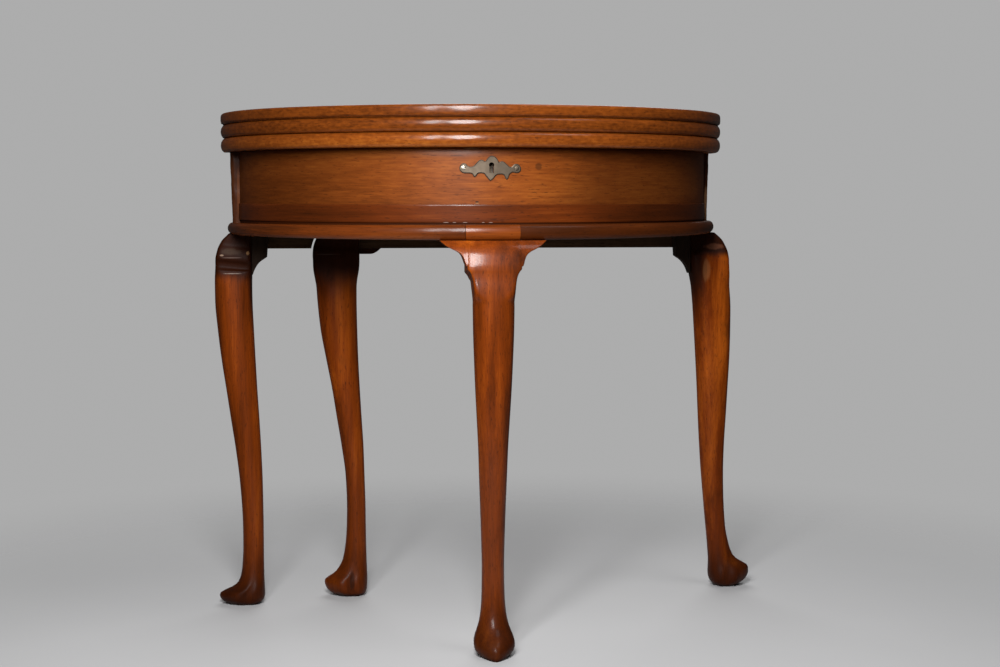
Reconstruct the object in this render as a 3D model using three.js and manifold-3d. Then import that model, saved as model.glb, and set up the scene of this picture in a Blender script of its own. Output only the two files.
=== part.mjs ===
// Half-round card table: three folding leaves over a locked storage well, a bowed frieze,
// three fixed cabriole legs and a fourth on a gate that swings back on a wooden knuckle joint.
// Millimetres, Z up. The straight back edge of the leaves lies on Y = 0 and the front faces -Y.

import * as THREE from 'three';
import { mergeVertices } from 'three/addons/utils/BufferGeometryUtils.js';
import Module from 'manifold-3d';

const wasm = await Module();
wasm.setup();

// Clearances
const seat = 0.3;               // between pieces that touch
const overrun = 2;              // how far a cut runs past the piece it cuts
const weld = 0.0001;            // vertices closer than this are one

// Leaves
const leafHalfWidth = 374.5;
const leafDepth = 366;
const lowerLeafThickness = 19.8;
const middleLeafThickness = 19.4;
const topLeafThickness = 16;
const leafGap = 0.4;            // between one leaf and the next
const noseDepth = 6;            // how far the rounded edges fall back at top and bottom
const topEdgeDepth = 5;
const bowSteps = 48;            // facets round the bow
const noseSteps = 6;

// Baize panels, let into the two faces that make the card surface
const baizeBorder = 30;
const baizeBackBorder = 14;
const baizeThickness = 0.9;

// Frame
const frameTop = 673.5;
const frameBottom = 554.6;
const friezeOverhang = 24;      // from the leaf's edge back to the frieze
const friezeThickness = 18;
const friezeRise = 1.4;         // the frieze stops this far above the underside of its bead
const bandHeight = 24.4;
const bandThickness = 1.5;
const beadHeight = 19.6;
const beadProjection = 15.5;
const beadNoseDepth = 7;
const centreBeadProud = 1.4;
const centreBeadLeft = 35;      // the front leg's stretch of bead is a piece of its own
const centreBeadRight = 37;

// Corner posts, one piece with the side legs
const postInset = 12.1;         // outer face, in from the leaves' edge
const postThickness = 33;
const postDepth = 43.7;
const postTaper = 4.5;          // the outer face leans in by this much over its height
const postCornerRadius = 7;

// Rails behind the well
const backRailThickness = 19.7;
const backRailRebate = 6;       // hollowed behind for the swinging rail
const outerRailThickness = 19;
const outerRailBottom = 530.6;
const knuckleX = 20;            // the swinging rail's pivot, right of the middle
const knuckleCount = 5;
const knuckleGap = 0.4;
const knuckleRelief = 0.8;
const knucklePinRadius = 3;
const knucklePinPlay = 0.3;
const stubRailGap = 4.5;        // between the gate leg's head and the short rail beyond it

// Storage well
const wellBoardThickness = 8;
const wellBoardRise = 17;       // above the frieze's lower edge
const glueBlock = 15;
const glueBlockLength = 42;
const glueBlockAngles = [28, 58, 122, 152];

// Cabriole legs. The local frame has +X out of the table and its origin on the floor,
// under the outer face of the leg's head.
const ankleHeight = 100;
const shoulderDrop = 36.3;      // from the head's top to the ledge under its flat sides
const kneeDrop = 41;            // from that ledge to the fullest part of the knee
const leanDrop = 7;             // a leg that has moved leans from this far under the ledge
const ankleWidth = 30.6;
const kneeWidth = 54;
const kneeProjection = 22.2;    // out past the head's outer face
const ankleSetback = 26;        // behind the middle of the knee
const toeLength = 36.2;         // out past the front of the ankle
const footHalfBreadth = 28.6;
const toeSpread = 12;           // the foot's widest place lies this far out of the ankle's middle
const headBreadth = 47;         // across the flat sides of the head
const headInner = 33;
const shankRings = 9;
const legFacets = 20;
const kneeSquareness = 3.1;     // superellipse power: 2 is round, larger is squarer
const ankleSquareness = 2.05;
const toeSquareness = 1.55;
const heelSquareness = 2.5;

// Foot sections from the sole up: height as a share of the ankle's height, reach of the toe
// as a share of its length, and breadth as a share of the foot's flare.
const footShares = [
  [0, 0.26, 0.8],
  [0.03, 0.66, 0.95],
  [0.09, 1, 1],
  [0.16, 0.93, 0.92],
  [0.23, 0.65, 0.7],
  [0.32, 0.36, 0.46],
  [0.46, 0.15, 0.2],
  [0.7, 0.03, 0.05],
];

// Heads of the legs
const lap = 6;                  // how far a head or post reaches into the shank under it
const shoulderStep = 3.4;       // the head's front falls back this far above the ledge
const headCrown = 20;           // and this much further by the time it meets the bead
const crownShare = 0.66;
const rightKneeWidth = 56;
const rightKneeProjection = 25;
const gateHeadCrown = 5;
const gateTaper = 1.9;

// The four legs: where the head's outer face stands and how each leg has been set or has moved
const sideLegY = -33;
const rightLeanOut = 58;
const rightLeanBack = 40;
const frontLegInset = 2;        // its head's face, in from the leaves' edge
const frontLeanOut = 22;
const frontHeadBreadth = 72;
const frontFlareDrop = 17;      // the head spreads from the shank over this height
const frontStileWidth = 72;
const centreOffset = 1;         // the front leg stands this far right of the middle
const frontStileThickness = 30;
const frontStileTop = 612;
const gateLegInset = 161.5;     // its head's outer face, in from the leaves' edge
const gateLegY = -4.3;
const gateKneeWidth = 60.4;
const gateAnkleWidth = 28.6;
const gateHeadOuter = 26;
const gateStileWidth = 39;
const gateStileRear = 19.2;
const gateHeadInner = 43;

// Ear brackets beside the legs' heads
const frontEarWidth = 33.5;
const frontEarDrop = 36;
const frontEarDepth = 39.8;
const sideEarWidth = 24;
const sideEarDrop = 62;
const sideEarThickness = 26;
const gateEarWidth = 32;
const earSetback = 3;           // the front ears' faces lie behind the knee's
const earTurn = 9;              // degrees that they fall away to each side
const frontEarShares = [        // out from the head's side, down from its top
  [0, 0], [1, 0], [1, 0.03], [0.89, 0.15], [0.77, 0.22], [0.58, 0.31], [0.38, 0.4],
  [0.25, 0.48], [0.15, 0.6], [0.1, 0.74], [0.06, 0.87], [0, 1],
];
const earStepShare = 0.2;
const earMiddleShare = 0.57;
const gateEarDrop = 8.3;

// Lid hinges, brass butts between the back rail and the lower leaf
const buttX = 190;
const buttLength = 50;
const buttPlateDepth = 18;
const buttPlateThickness = 1.5;
const buttKnuckleRadius = 3.2;
const buttPinRadius = 1.2;

// Leaf hinges, brass plates let into the ends of the leaves
const endHingeInset = 10.8;     // inner face of the inner eye, in from the leaves' edge
const endHingeEye = 2;          // thickness of each eye
const endHingeEyeRadius = 3.4;
const endHingeLength = 45;
const endHingeDrop = 8.6;       // from the meeting line into each leaf
const endHingePinRadius = 1.2;

// Lock
const keyholeZ = 647.8;
const keyholeRadius = 3.1;
const keyholeSlotWidth = 3.6;
const keyholeDrop = 7.4;
const keyholeLift = 2.6;
const lockWidth = 60;
const lockThickness = 12;
const lockLetIn = 4;
const lockBottom = 630;
const lockPlateOverhang = 3;
const lockPlateThickness = 1.6;
const boltWidth = 18;
const boltThickness = 6.6;
const boltBottom = 640;
const boltBelowTop = 1;
const boltMortise = 9.4;
const strikeWidth = 32;
const strikeDepth = 15;
const strikeThickness = 1.3;

// Escutcheon
const escutcheonHalfWidth = 41;
const escutcheonHalfHeight = 16.5;
const escutcheonThickness = 1.6;
const escutcheonShares = [      // right and up from the keyhole, clockwise from the top
  [0.02, 0.93], [0.09, 0.89], [0.15, 0.78], [0.2, 0.62], [0.23, 0.48], [0.25, 0.39], [0.3, 0.48],
  [0.38, 0.48], [0.44, 0.39], [0.5, 0.24], [0.57, 0.1], [0.62, 0.02], [0.68, 0.08], [0.73, 0.24],
  [0.79, 0.3], [0.86, 0.26], [0.92, 0.14], [0.96, -0.04], [0.96, -0.22], [0.91, -0.38], [0.84, -0.44],
  [0.76, -0.42], [0.68, -0.38], [0.62, -0.45], [0.59, -0.53], [0.57, -0.68], [0.54, -0.85], [0.49, -0.98],
  [0.45, -0.87], [0.42, -0.68], [0.38, -0.56], [0.29, -0.53], [0.2, -0.56], [0.14, -0.63], [0.09, -0.8],
  [0.02, -0.96], [-0.03, -1.07], [-0.09, -0.98], [-0.14, -0.81], [-0.19, -0.69], [-0.22, -0.51], [-0.31, -0.45],
  [-0.39, -0.44], [-0.45, -0.5], [-0.48, -0.64], [-0.54, -0.78], [-0.59, -0.68], [-0.61, -0.52], [-0.68, -0.46],
  [-0.78, -0.46], [-0.88, -0.47], [-0.97, -0.39], [-1.02, -0.21], [-1.04, -0.02], [-1, 0.18], [-0.94, 0.32],
  [-0.86, 0.34], [-0.8, 0.25], [-0.77, 0.11], [-0.7, 0.05], [-0.61, 0.07], [-0.55, 0.18], [-0.48, 0.38],
  [-0.41, 0.55], [-0.35, 0.62], [-0.28, 0.59], [-0.21, 0.46], [-0.16, 0.61], [-0.11, 0.79], [-0.05, 0.91],
];

// Prop that lifts out of the gate to carry the top leaf when it is opened alone
const propFromStile = 110;      // pivot, from the gate leg's stile
const propZ = 600;
const propWidth = 22;
const propThickness = 9.5;
const propScrewRadius = 2.6;
const propScrewHeadRadius = 5.5;
const propScrewHead = 1.3;
const propScrewDepth = 12;

// Heights and places that follow from the sizes above
const lowerLeafZ = frameTop + leafGap;
const middleLeafZ = lowerLeafZ + lowerLeafThickness + leafGap;
const topLeafZ = middleLeafZ + middleLeafThickness + leafGap;
const lidAxisZ = frameTop + leafGap / 2;
const middleAxisZ = middleLeafZ - leafGap / 2;
const topAxisZ = topLeafZ - leafGap / 2;
const gateTop = middleAxisZ - (topAxisZ - middleAxisZ) - leafGap / 2 - topLeafThickness - leafGap;
const propTop = topAxisZ - leafGap / 2 - topLeafThickness - seat;
const postOuter = leafHalfWidth - postInset;
const endHingeX = leafHalfWidth - endHingeInset;
const frontLegReach = leafDepth - frontLegInset;
const friezeHalfWidth = leafHalfWidth - friezeOverhang;
const friezeDepth = leafDepth - friezeOverhang;
const legTop = frameBottom - seat;
const shoulderHeight = legTop - shoulderDrop;
const kneeHeight = shoulderHeight - kneeDrop;
const leanHeight = shoulderHeight - leanDrop;
const gateLegOuter = leafHalfWidth - gateLegInset;
const gateStileInner = gateLegOuter - gateHeadInner;
const stubRailEnd = gateLegOuter + gateHeadOuter + stubRailGap;
const propX = propFromStile - gateStileInner;
const postInner = postOuter - postThickness;
const railFront = -backRailThickness - backRailRebate - seat;
const outerRailFront = -backRailRebate;
const outerRailRear = outerRailFront + outerRailThickness;
const knuckleY = (outerRailFront + outerRailRear) / 2;
const knuckleRadius = outerRailThickness / 2;
const friezeInner = friezeDepth - friezeThickness;
const lockFront = -friezeInner - lockLetIn;
const lockRear = lockFront + lockThickness;
const boltY = (lockFront + lockRear) / 2;

const finishes = {
  mahogany: { color: 0x7a3413, roughness: 0.32, metalness: 0 },
  leafMahogany: { color: 0x8a3f16, roughness: 0.28, metalness: 0 },
  secondaryWood: { color: 0x8f6a42, roughness: 0.7, metalness: 0 },
  baize: { color: 0x2f4a35, roughness: 0.95, metalness: 0 },
  brass: { color: 0x8c7446, roughness: 0.45, metalness: 0.9 },
  iron: { color: 0x3a3733, roughness: 0.55, metalness: 0.8 },
};

const table = new THREE.Group();

function toGeometry(solid) {
  const { numProp, vertProperties, triVerts } = solid.getMesh();
  const geometry = new THREE.BufferGeometry();
  geometry.setAttribute('position', new THREE.BufferAttribute(vertProperties, numProp));
  geometry.setIndex(new THREE.BufferAttribute(triVerts, 1));
  return geometry;
}

function piece(parent, name, solid, finish) {
  const geometry = toGeometry(solid);
  geometry.computeVertexNormals();
  const mesh = new THREE.Mesh(geometry, new THREE.MeshStandardMaterial(finishes[finish]));
  mesh.name = name;
  parent.add(mesh);
  return mesh;
}

// Closed solids from three.js geometry
function toSolid(geometry) {
  geometry.deleteAttribute('normal');
  geometry.deleteAttribute('uv');
  const merged = mergeVertices(geometry, weld);
  return new wasm.Manifold(new wasm.Mesh({
    numProp: 3,
    vertProperties: new Float32Array(merged.attributes.position.array),
    triVerts: new Uint32Array(merged.index.array),
  }));
}

// A copy of a solid, turned about Z and then moved
function placed(solid, position, turn = 0) {
  const matrix = new THREE.Matrix4().makeRotationZ(turn).setPosition(...position);
  return toSolid(toGeometry(solid).applyMatrix4(matrix));
}

function join(solids) {
  return solids.reduce((whole, solid) => whole.add(solid));
}

function cut(solid, tools) {
  return tools.reduce((rest, tool) => rest.subtract(tool), solid);
}

function block([x0, y0, z0], [x1, y1, z1]) {
  const box = new THREE.BoxGeometry(x1 - x0, y1 - y0, z1 - z0);
  box.translate((x0 + x1) / 2, (y0 + y1) / 2, (z0 + z1) / 2);
  return toSolid(box);
}

// A round rod along X, Y or Z between two places on that axis, at the other two coordinates
function rod(axis, radius, from, to, [first, second], facets = 20) {
  const geometry = new THREE.CylinderGeometry(radius, radius, to - from, facets);
  const middle = (from + to) / 2;
  if (axis === 'x') geometry.rotateZ(Math.PI / 2).translate(middle, first, second);
  if (axis === 'y') geometry.translate(first, middle, second);
  if (axis === 'z') geometry.rotateX(Math.PI / 2).translate(first, second, middle);
  return toSolid(geometry);
}

// An outline pushed along Z, along Y (outline in X and Z) or along X (outline in Y and Z)
function prism(shape, along, from, to, curveSegments = 8) {
  const geometry = new THREE.ExtrudeGeometry(shape, {
    depth: to - from, bevelEnabled: false, curveSegments,
  });
  const [x, y, z] = [0, 1, 2].map((i) => new THREE.Vector3().setComponent(i, 1));
  const turn = new THREE.Matrix4();
  if (along === 'z') turn.setPosition(0, 0, from);
  if (along === 'y') turn.makeBasis(x, z, y.clone().negate()).setPosition(0, to, 0);
  if (along === 'x') turn.makeBasis(y, z, x).setPosition(from, 0, 0);
  return toSolid(geometry.applyMatrix4(turn));
}

// Skin over a stack of level outlines, counter-clockwise seen from above, lowest first
function loft(rings) {
  const count = rings[0].length;
  const positions = rings.flat().flatMap((point) => [point.x, point.y, point.z]);
  const index = [];
  for (let level = 0; level + 1 < rings.length; level += 1) {
    for (let i = 0; i < count; i += 1) {
      const a = level * count + i;
      const b = level * count + ((i + 1) % count);
      index.push(a, b, b + count, a, b + count, a + count);
    }
  }
  const flat = (ring) => ring.map((point) => new THREE.Vector2(point.x, point.y));
  const top = (rings.length - 1) * count;
  for (const [a, b, c] of THREE.ShapeUtils.triangulateShape(flat(rings[0]), [])) {
    index.push(a, c, b);
  }
  for (const [a, b, c] of THREE.ShapeUtils.triangulateShape(flat(rings.at(-1)), [])) {
    index.push(top + a, top + b, top + c);
  }
  const geometry = new THREE.BufferGeometry();
  geometry.setAttribute('position', new THREE.Float32BufferAttribute(positions, 3));
  geometry.setIndex(index);
  return toSolid(geometry);
}

// Half-round outline with its straight side on Y = 0, or carried back past it
function halfRound(halfWidth, depth, z, back = 0) {
  const ring = [];
  for (let i = 0; i <= bowSteps; i += 1) {
    const turn = (Math.PI * i) / bowSteps;
    ring.push(new THREE.Vector3(-halfWidth * Math.cos(turn), -depth * Math.sin(turn), z));
  }
  if (back > 0) {
    ring.unshift(new THREE.Vector3(-halfWidth, back, z));
    ring.push(new THREE.Vector3(halfWidth, back, z));
  }
  return ring;
}

function halfDisc(halfWidth, depth, z0, z1, back = 0) {
  return loft([halfRound(halfWidth, depth, z0, back), halfRound(halfWidth, depth, z1, back)]);
}

// Curved wall that follows the bow between two distances in from the leaves' edge
function bowWall(outerInset, innerInset, z0, z1) {
  const outer = halfDisc(leafHalfWidth - outerInset, leafDepth - outerInset, z0, z1);
  const inner = halfDisc(leafHalfWidth - innerInset, leafDepth - innerInset,
    z0 - overrun, z1 + overrun, overrun);
  return outer.subtract(inner);
}

// Edge sections, as pairs of inset and height
function roundedEdge(thickness, depth) {
  const section = [];
  for (let i = 0; i <= noseSteps; i += 1) {
    const turn = Math.PI * (i / noseSteps - 1 / 2);
    section.push([depth * (1 - Math.cos(turn)), (thickness / 2) * (1 + Math.sin(turn))]);
  }
  return section;
}

function quirkedEdge(thickness, depth) {
  const edgeShares = [[0.7, 0], [0.64, 0.11], [0.16, 0.14], [0, 0.4], [0.04, 0.74], [0.4, 0.94], [1, 1]];
  return edgeShares.map(([inset, height]) => [depth * inset, thickness * height]);
}

function leafSlab(section) {
  return loft(section.map(([inset, z]) => halfRound(leafHalfWidth - inset, leafDepth - inset, z)));
}

// Hinges in the ends of the leaves. Each leaf is drawn from its own underside, z = 0.
// Eyes alternate along the pin: the lower leaf's eye is the outer one.
function endHingeEyeSpan(side, upper) {
  const inner = endHingeX + (upper ? 0 : endHingeEye + seat);
  return side < 0 ? [-inner - endHingeEye, -inner] : [inner, inner + endHingeEye];
}

function endHingeRecess(side, axisZ, upper) {
  const far = axisZ + (upper ? 1 : -1) * (endHingeDrop + seat);
  const [z0, z1] = upper ? [axisZ - overrun, far] : [far, axisZ + overrun];
  const [x0, x1] = side < 0
    ? [-leafHalfWidth - overrun, -endHingeX + seat]
    : [endHingeX - seat, leafHalfWidth + overrun];
  return block([x0, -endHingeLength - seat, z0], [x1, overrun, z1]);
}

function endHingePlate(slab, side, axisZ, upper) {
  const sign = upper ? 1 : -1;
  const near = axisZ + (sign * leafGap) / 2;
  const far = axisZ + sign * endHingeDrop;
  const [z0, z1] = upper ? [near, far] : [far, near];
  const [x0, x1] = side < 0
    ? [-leafHalfWidth - overrun, -endHingeX]
    : [endHingeX, leafHalfWidth + overrun];
  const clearRadius = endHingeEyeRadius + seat;
  const [eyeStart, eyeEnd] = endHingeEyeSpan(side, upper);
  const plate = cut(block([x0, -endHingeLength, z0], [x1, 0, z1]).intersect(slab),
    [rod('x', clearRadius, x0 - overrun, x1 + overrun, [0, axisZ])]);
  const reach = endHingeEyeRadius + overrun;
  const [n0, n1] = upper ? [near, axisZ + reach] : [axisZ - reach, near];
  const neck = block([eyeStart, -reach, n0], [eyeEnd, 0, n1]);
  const eye = rod('x', endHingeEyeRadius, eyeStart, eyeEnd, [0, axisZ]);
  const bore = rod('x', endHingePinRadius + seat, eyeStart - overrun, eyeEnd + overrun, [0, axisZ], 12);
  return cut(join([plate, neck, eye]), [bore]);
}

function endHingePin(side, axisZ) {
  const spans = [endHingeEyeSpan(side, true), endHingeEyeSpan(side, false)].flat();
  return rod('x', endHingePinRadius, Math.min(...spans), Math.max(...spans), [0, axisZ], 12);
}

// Lid hinges
function buttPlate(x, upper) {
  const near = upper ? leafGap / 2 : -leafGap / 2;
  const far = upper ? near + buttPlateThickness : near - buttPlateThickness;
  const clear = -buttKnuckleRadius - seat;
  const third = buttLength / 3;
  const start = x - buttLength / 2;
  const middle = [[start + third + seat / 2, start + 2 * third - seat / 2]];
  const outer = [[start, start + third - seat / 2], [start + 2 * third + seat / 2, start + buttLength]];
  const spans = upper ? middle : outer;
  const [z0, z1] = [Math.min(near, far), Math.max(near, far)];
  const plate = block([start, clear - buttPlateDepth, z0], [start + buttLength, clear, z1]);
  const arms = spans.map(([a, b]) => block([a, clear - seat, z0], [b, 0, z1]));
  const knuckles = spans.map(([a, b]) => rod('x', buttKnuckleRadius, a, b, [0, 0], 16));
  const bore = rod('x', buttPinRadius + seat, start - overrun, start + buttLength + overrun, [0, 0], 12);
  return cut(join([plate, ...arms, ...knuckles]), [bore]);
}

function buttRecess(x, upper) {
  const sign = upper ? 1 : -1;
  const start = x - buttLength / 2 - seat;
  const end = x + buttLength / 2 + seat;
  const depth = sign * (leafGap / 2 + buttPlateThickness + seat);
  const [z0, z1] = [Math.min(0, depth), Math.max(0, depth)];
  const back = -buttKnuckleRadius - buttPlateDepth - 2 * seat;
  return join([
    block([start, back, z0], [end, overrun, z1]),
    rod('x', buttKnuckleRadius + 2 * seat, start, end, [0, 0], 16),
  ]);
}

// Leaves
function baizeShape(z0, z1) {
  return halfDisc(leafHalfWidth - baizeBorder, leafDepth - baizeBorder, z0, z1)
    .subtract(block([-leafHalfWidth, -baizeBackBorder, z0 - overrun],
      [leafHalfWidth, overrun, z1 + overrun]));
}

function baizeRecess(z0, z1) {
  const border = baizeBorder - seat;
  return halfDisc(leafHalfWidth - border, leafDepth - border, z0, z1)
    .subtract(block([-leafHalfWidth, -baizeBackBorder + seat, z0 - overrun],
      [leafHalfWidth, overrun, z1 + overrun]));
}

// Hollow in the lower leaf's back edge for the upper hinges' eyes when both leaves above are folded back
function foldedEyeRelief(side) {
  const spans = [endHingeEyeSpan(side, true), endHingeEyeSpan(side, false)].flat();
  const foldedZ = middleAxisZ - (topAxisZ - middleAxisZ) - lowerLeafZ;
  return rod('x', endHingeEyeRadius + 2 * seat, Math.min(...spans) - seat, Math.max(...spans) + seat,
    [0, foldedZ], 16);
}

// Hollow in the upper leaves' meeting edges for the lid hinges' knuckles in that same position
function foldedKnuckleRelief(side, z) {
  const [start, end] = [side * buttX - buttLength / 2 - seat, side * buttX + buttLength / 2 + seat];
  return rod('x', buttKnuckleRadius + 3 * seat, start, end, [0, z], 16);
}

function addLowerLeaf() {
  const group = new THREE.Group();
  group.position.z = lowerLeafZ;
  const top = lowerLeafThickness;
  const slab = leafSlab(roundedEdge(top, noseDepth));
  const axisZ = middleAxisZ - lowerLeafZ;
  const lidZ = lidAxisZ - lowerLeafZ;
  const baizeFloor = top - baizeThickness - seat;
  const strike = (clearance) => block(
    [-strikeWidth / 2 - clearance, boltY - strikeDepth / 2 - clearance, 0],
    [strikeWidth / 2 + clearance, boltY + strikeDepth / 2 + clearance, strikeThickness + clearance]);
  const boltHole = (depth) => block(
    [-boltWidth / 2 - 2 * seat, boltY - boltThickness / 2 - 2 * seat, -overrun],
    [boltWidth / 2 + 2 * seat, boltY + boltThickness / 2 + 2 * seat, depth]);
  piece(group, 'lower_leaf', cut(slab, [
    ...[-1, 1].map((side) => endHingeRecess(side, axisZ, false)),
    ...[-1, 1].map((side) => placed(buttRecess(side * buttX, true), [0, 0, lidZ])),
    baizeRecess(baizeFloor, top + overrun),
    strike(seat),
    boltHole(boltMortise),
    ...[-1, 1].map((side) => foldedEyeRelief(side)),
  ]), 'leafMahogany');
  piece(group, 'lower_baize', baizeShape(top - baizeThickness, top), 'baize');
  piece(group, 'strike_plate', strike(0).subtract(boltHole(overrun + strikeThickness)), 'brass');
  for (const [side, word] of [[-1, 'left'], [1, 'right']]) {
    piece(group, `lower_hinge_${word}_bottom_plate`, endHingePlate(slab, side, axisZ, false), 'brass');
    piece(group, `lower_hinge_${word}_pin`, endHingePin(side, axisZ), 'brass');
    const butt = piece(group, `lid_hinge_${word}_leaf_plate`, buttPlate(side * buttX, true), 'brass');
    butt.position.z = lidZ;
  }
  table.add(group);
}

function addMiddleLeaf() {
  const group = new THREE.Group();
  group.position.z = middleLeafZ;
  const slab = leafSlab(roundedEdge(middleLeafThickness, noseDepth));
  const below = -leafGap / 2;
  const above = middleLeafThickness + leafGap / 2;
  piece(group, 'middle_leaf', cut(slab, [
    ...[-1, 1].map((side) => endHingeRecess(side, below, true)),
    ...[-1, 1].map((side) => endHingeRecess(side, above, false)),
    ...[-1, 1].map((side) => foldedKnuckleRelief(side, above)),
    baizeRecess(-overrun, baizeThickness + seat),
  ]), 'leafMahogany');
  piece(group, 'middle_baize', baizeShape(0, baizeThickness), 'baize');
  for (const [side, word] of [[-1, 'left'], [1, 'right']]) {
    piece(group, `lower_hinge_${word}_top_plate`, endHingePlate(slab, side, below, true), 'brass');
    piece(group, `upper_hinge_${word}_bottom_plate`, endHingePlate(slab, side, above, false), 'brass');
    piece(group, `upper_hinge_${word}_pin`, endHingePin(side, above), 'brass');
  }
  table.add(group);
}

function addTopLeaf() {
  const group = new THREE.Group();
  group.position.z = topLeafZ;
  const slab = leafSlab(quirkedEdge(topLeafThickness, topEdgeDepth));
  const below = -leafGap / 2;
  piece(group, 'top_leaf', cut(slab, [
    ...[-1, 1].map((side) => endHingeRecess(side, below, true)),
    ...[-1, 1].map((side) => foldedKnuckleRelief(side, below)),
  ]), 'leafMahogany');
  for (const [side, word] of [[-1, 'left'], [1, 'right']]) {
    piece(group, `upper_hinge_${word}_top_plate`, endHingePlate(slab, side, below, true), 'brass');
  }
  table.add(group);
}

// Cabriole legs, each drawn in its own frame
function smooth(t) {
  const s = Math.min(Math.max(t, 0), 1);
  return s * s * (3 - 2 * s);
}

function legSection({ z, front, middle, back, half, frontPower, backPower }, lean) {
  const ring = [];
  const leaning = Math.max(0, 1 - z / leanHeight);
  for (let i = 0; i < legFacets; i += 1) {
    const turn = (2 * Math.PI * i) / legFacets;
    const [c, s] = [Math.cos(turn), Math.sin(turn)];
    const power = c >= 0 ? frontPower : backPower;
    const reach = c >= 0 ? front - middle : middle - back;
    const bend = (value) => Math.sign(value) * Math.abs(value) ** (2 / power);
    ring.push(new THREE.Vector3(
      middle + reach * bend(c) + lean.out * leaning, half * bend(s) + lean.back * leaning, z));
  }
  return ring;
}

function legShank({ knee, ankle, projection, taper, lean }) {
  const kneeMiddle = projection - knee / 2;
  const ankleMiddle = kneeMiddle - ankleSetback;
  const mix = THREE.MathUtils.lerp;
  const foot = footShares.map(([height, reach, flare]) => ({
    z: height * ankleHeight,
    front: ankleMiddle + ankle / 2 + reach * toeLength,
    middle: ankleMiddle + reach * toeSpread,
    back: ankleMiddle - ankle / 2,
    half: mix(ankle / 2, footHalfBreadth, flare),
    frontPower: mix(ankleSquareness, toeSquareness, reach),
    backPower: mix(ankleSquareness, heelSquareness, flare),
  }));
  const shank = [];
  for (let i = 0; i <= shankRings; i += 1) {
    const rise = smooth(i / shankRings);
    const width = mix(ankle, knee, rise ** taper);
    const middle = ankleMiddle + ankleSetback * rise;
    const power = mix(ankleSquareness, kneeSquareness, rise);
    shank.push({
      z: mix(ankleHeight, kneeHeight, i / shankRings),
      front: middle + width / 2,
      middle,
      back: middle - width / 2,
      half: mix(ankle, kneeWidth, rise ** taper) / 2,
      frontPower: power,
      backPower: power,
    });
  }
  const shoulder = { ...shank.at(-1), z: shoulderHeight };
  return loft([...foot, ...shank, shoulder].map((section) => legSection(section, lean)));
}

// The head over the shank: flat sides, and a front that swells from under the bead
function headProfile({ inner, outer, crown, foot }) {
  const shape = new THREE.Shape();
  const swell = THREE.MathUtils.lerp(shoulderHeight, legTop, crownShare);
  shape.moveTo(-inner, foot);
  shape.lineTo(outer, foot);
  shape.lineTo(outer, shoulderHeight);
  shape.quadraticCurveTo(outer, swell, outer - crown, legTop);
  shape.lineTo(-inner, legTop);
  return shape;
}

function legWithHead(leg) {
  const half = leg.breadth / 2;
  return legShank(leg).add(prism(headProfile(leg), 'y', -half, half));
}

const sideLegs = {
  left: {
    side: -1, knee: kneeWidth, ankle: ankleWidth, projection: kneeProjection, taper: 1,
    inner: headInner, outer: kneeProjection - shoulderStep, crown: headCrown,
    foot: shoulderHeight - lap,
    breadth: headBreadth, lean: { out: 0, back: 0 },
  },
  right: {
    side: 1, knee: rightKneeWidth, ankle: ankleWidth, projection: rightKneeProjection, taper: 1,
    inner: headInner, outer: rightKneeProjection - shoulderStep, crown: headCrown,
    foot: shoulderHeight - lap,
    breadth: headBreadth, lean: { out: rightLeanOut, back: rightLeanBack },
  },
};

const frontLeg = {
  knee: kneeWidth, ankle: ankleWidth, projection: kneeProjection, taper: 1,
  inner: frontLegReach - friezeInner + seat + frontStileThickness,
  outer: kneeProjection - shoulderStep, crown: headCrown, foot: shoulderHeight - seat,
  breadth: frontHeadBreadth, lean: { out: frontLeanOut, back: 0 },
};

const gateLeg = {
  knee: gateKneeWidth, ankle: gateAnkleWidth, projection: kneeProjection, taper: gateTaper,
  inner: gateHeadInner, outer: gateHeadOuter, crown: gateHeadCrown, foot: shoulderHeight - lap,
  breadth: headBreadth, lean: { out: 0, back: 0 },
};

// What spreads the front leg's shank out to the breadth of its head
function frontFlare() {
  const [narrow, wide] = [frontLeg.knee / 2 - seat, frontHeadBreadth / 2 - seat];
  const foot = shoulderHeight - frontFlareDrop;
  const shape = new THREE.Shape();
  shape.moveTo(-narrow, foot);
  shape.lineTo(narrow, foot);
  shape.quadraticCurveTo(narrow, shoulderHeight - frontFlareDrop / 2, wide, shoulderHeight);
  shape.lineTo(wide, shoulderHeight + lap);
  shape.lineTo(-wide, shoulderHeight + lap);
  shape.lineTo(-wide, shoulderHeight);
  shape.quadraticCurveTo(-narrow, shoulderHeight - frontFlareDrop / 2, -narrow, foot);
  return prism(shape, 'x', frontLeg.projection - frontLeg.knee + lap, frontLeg.outer - seat);
}

// Corner post over a side leg, in the leg's frame: its outer face leans in towards the bead
function cornerPost(side, grow = 0, past = 0) {
  const outline = new THREE.Shape();
  outline.moveTo(-postThickness - grow, legTop - lap);
  outline.lineTo(grow - postTaper, legTop - lap);
  outline.lineTo(grow - postTaper, legTop);
  outline.lineTo(grow, frameTop);
  outline.lineTo(-postThickness - grow, frameTop);
  const back = side * (-sideLegY - seat + past);
  const front = side * (-sideLegY - seat - postDepth);
  const [y0, y1] = [Math.min(front, back) - grow, Math.max(front, back) + grow];
  return prism(outline, 'y', y0, y1).subtract(postRounding(front, side));
}

// What the rounded corner takes off the post's front outer edge
function postRounding(front, side) {
  const [outside, inside] = [front - side * overrun, front + side * postCornerRadius];
  const foot = legTop - lap - overrun;
  const corner = block([-postCornerRadius, Math.min(outside, inside), foot],
    [overrun, Math.max(outside, inside), frameTop + overrun]);
  const round = rod('z', postCornerRadius, foot - overrun, frameTop + 2 * overrun,
    [-postCornerRadius, inside]);
  return corner.subtract(round);
}

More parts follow.
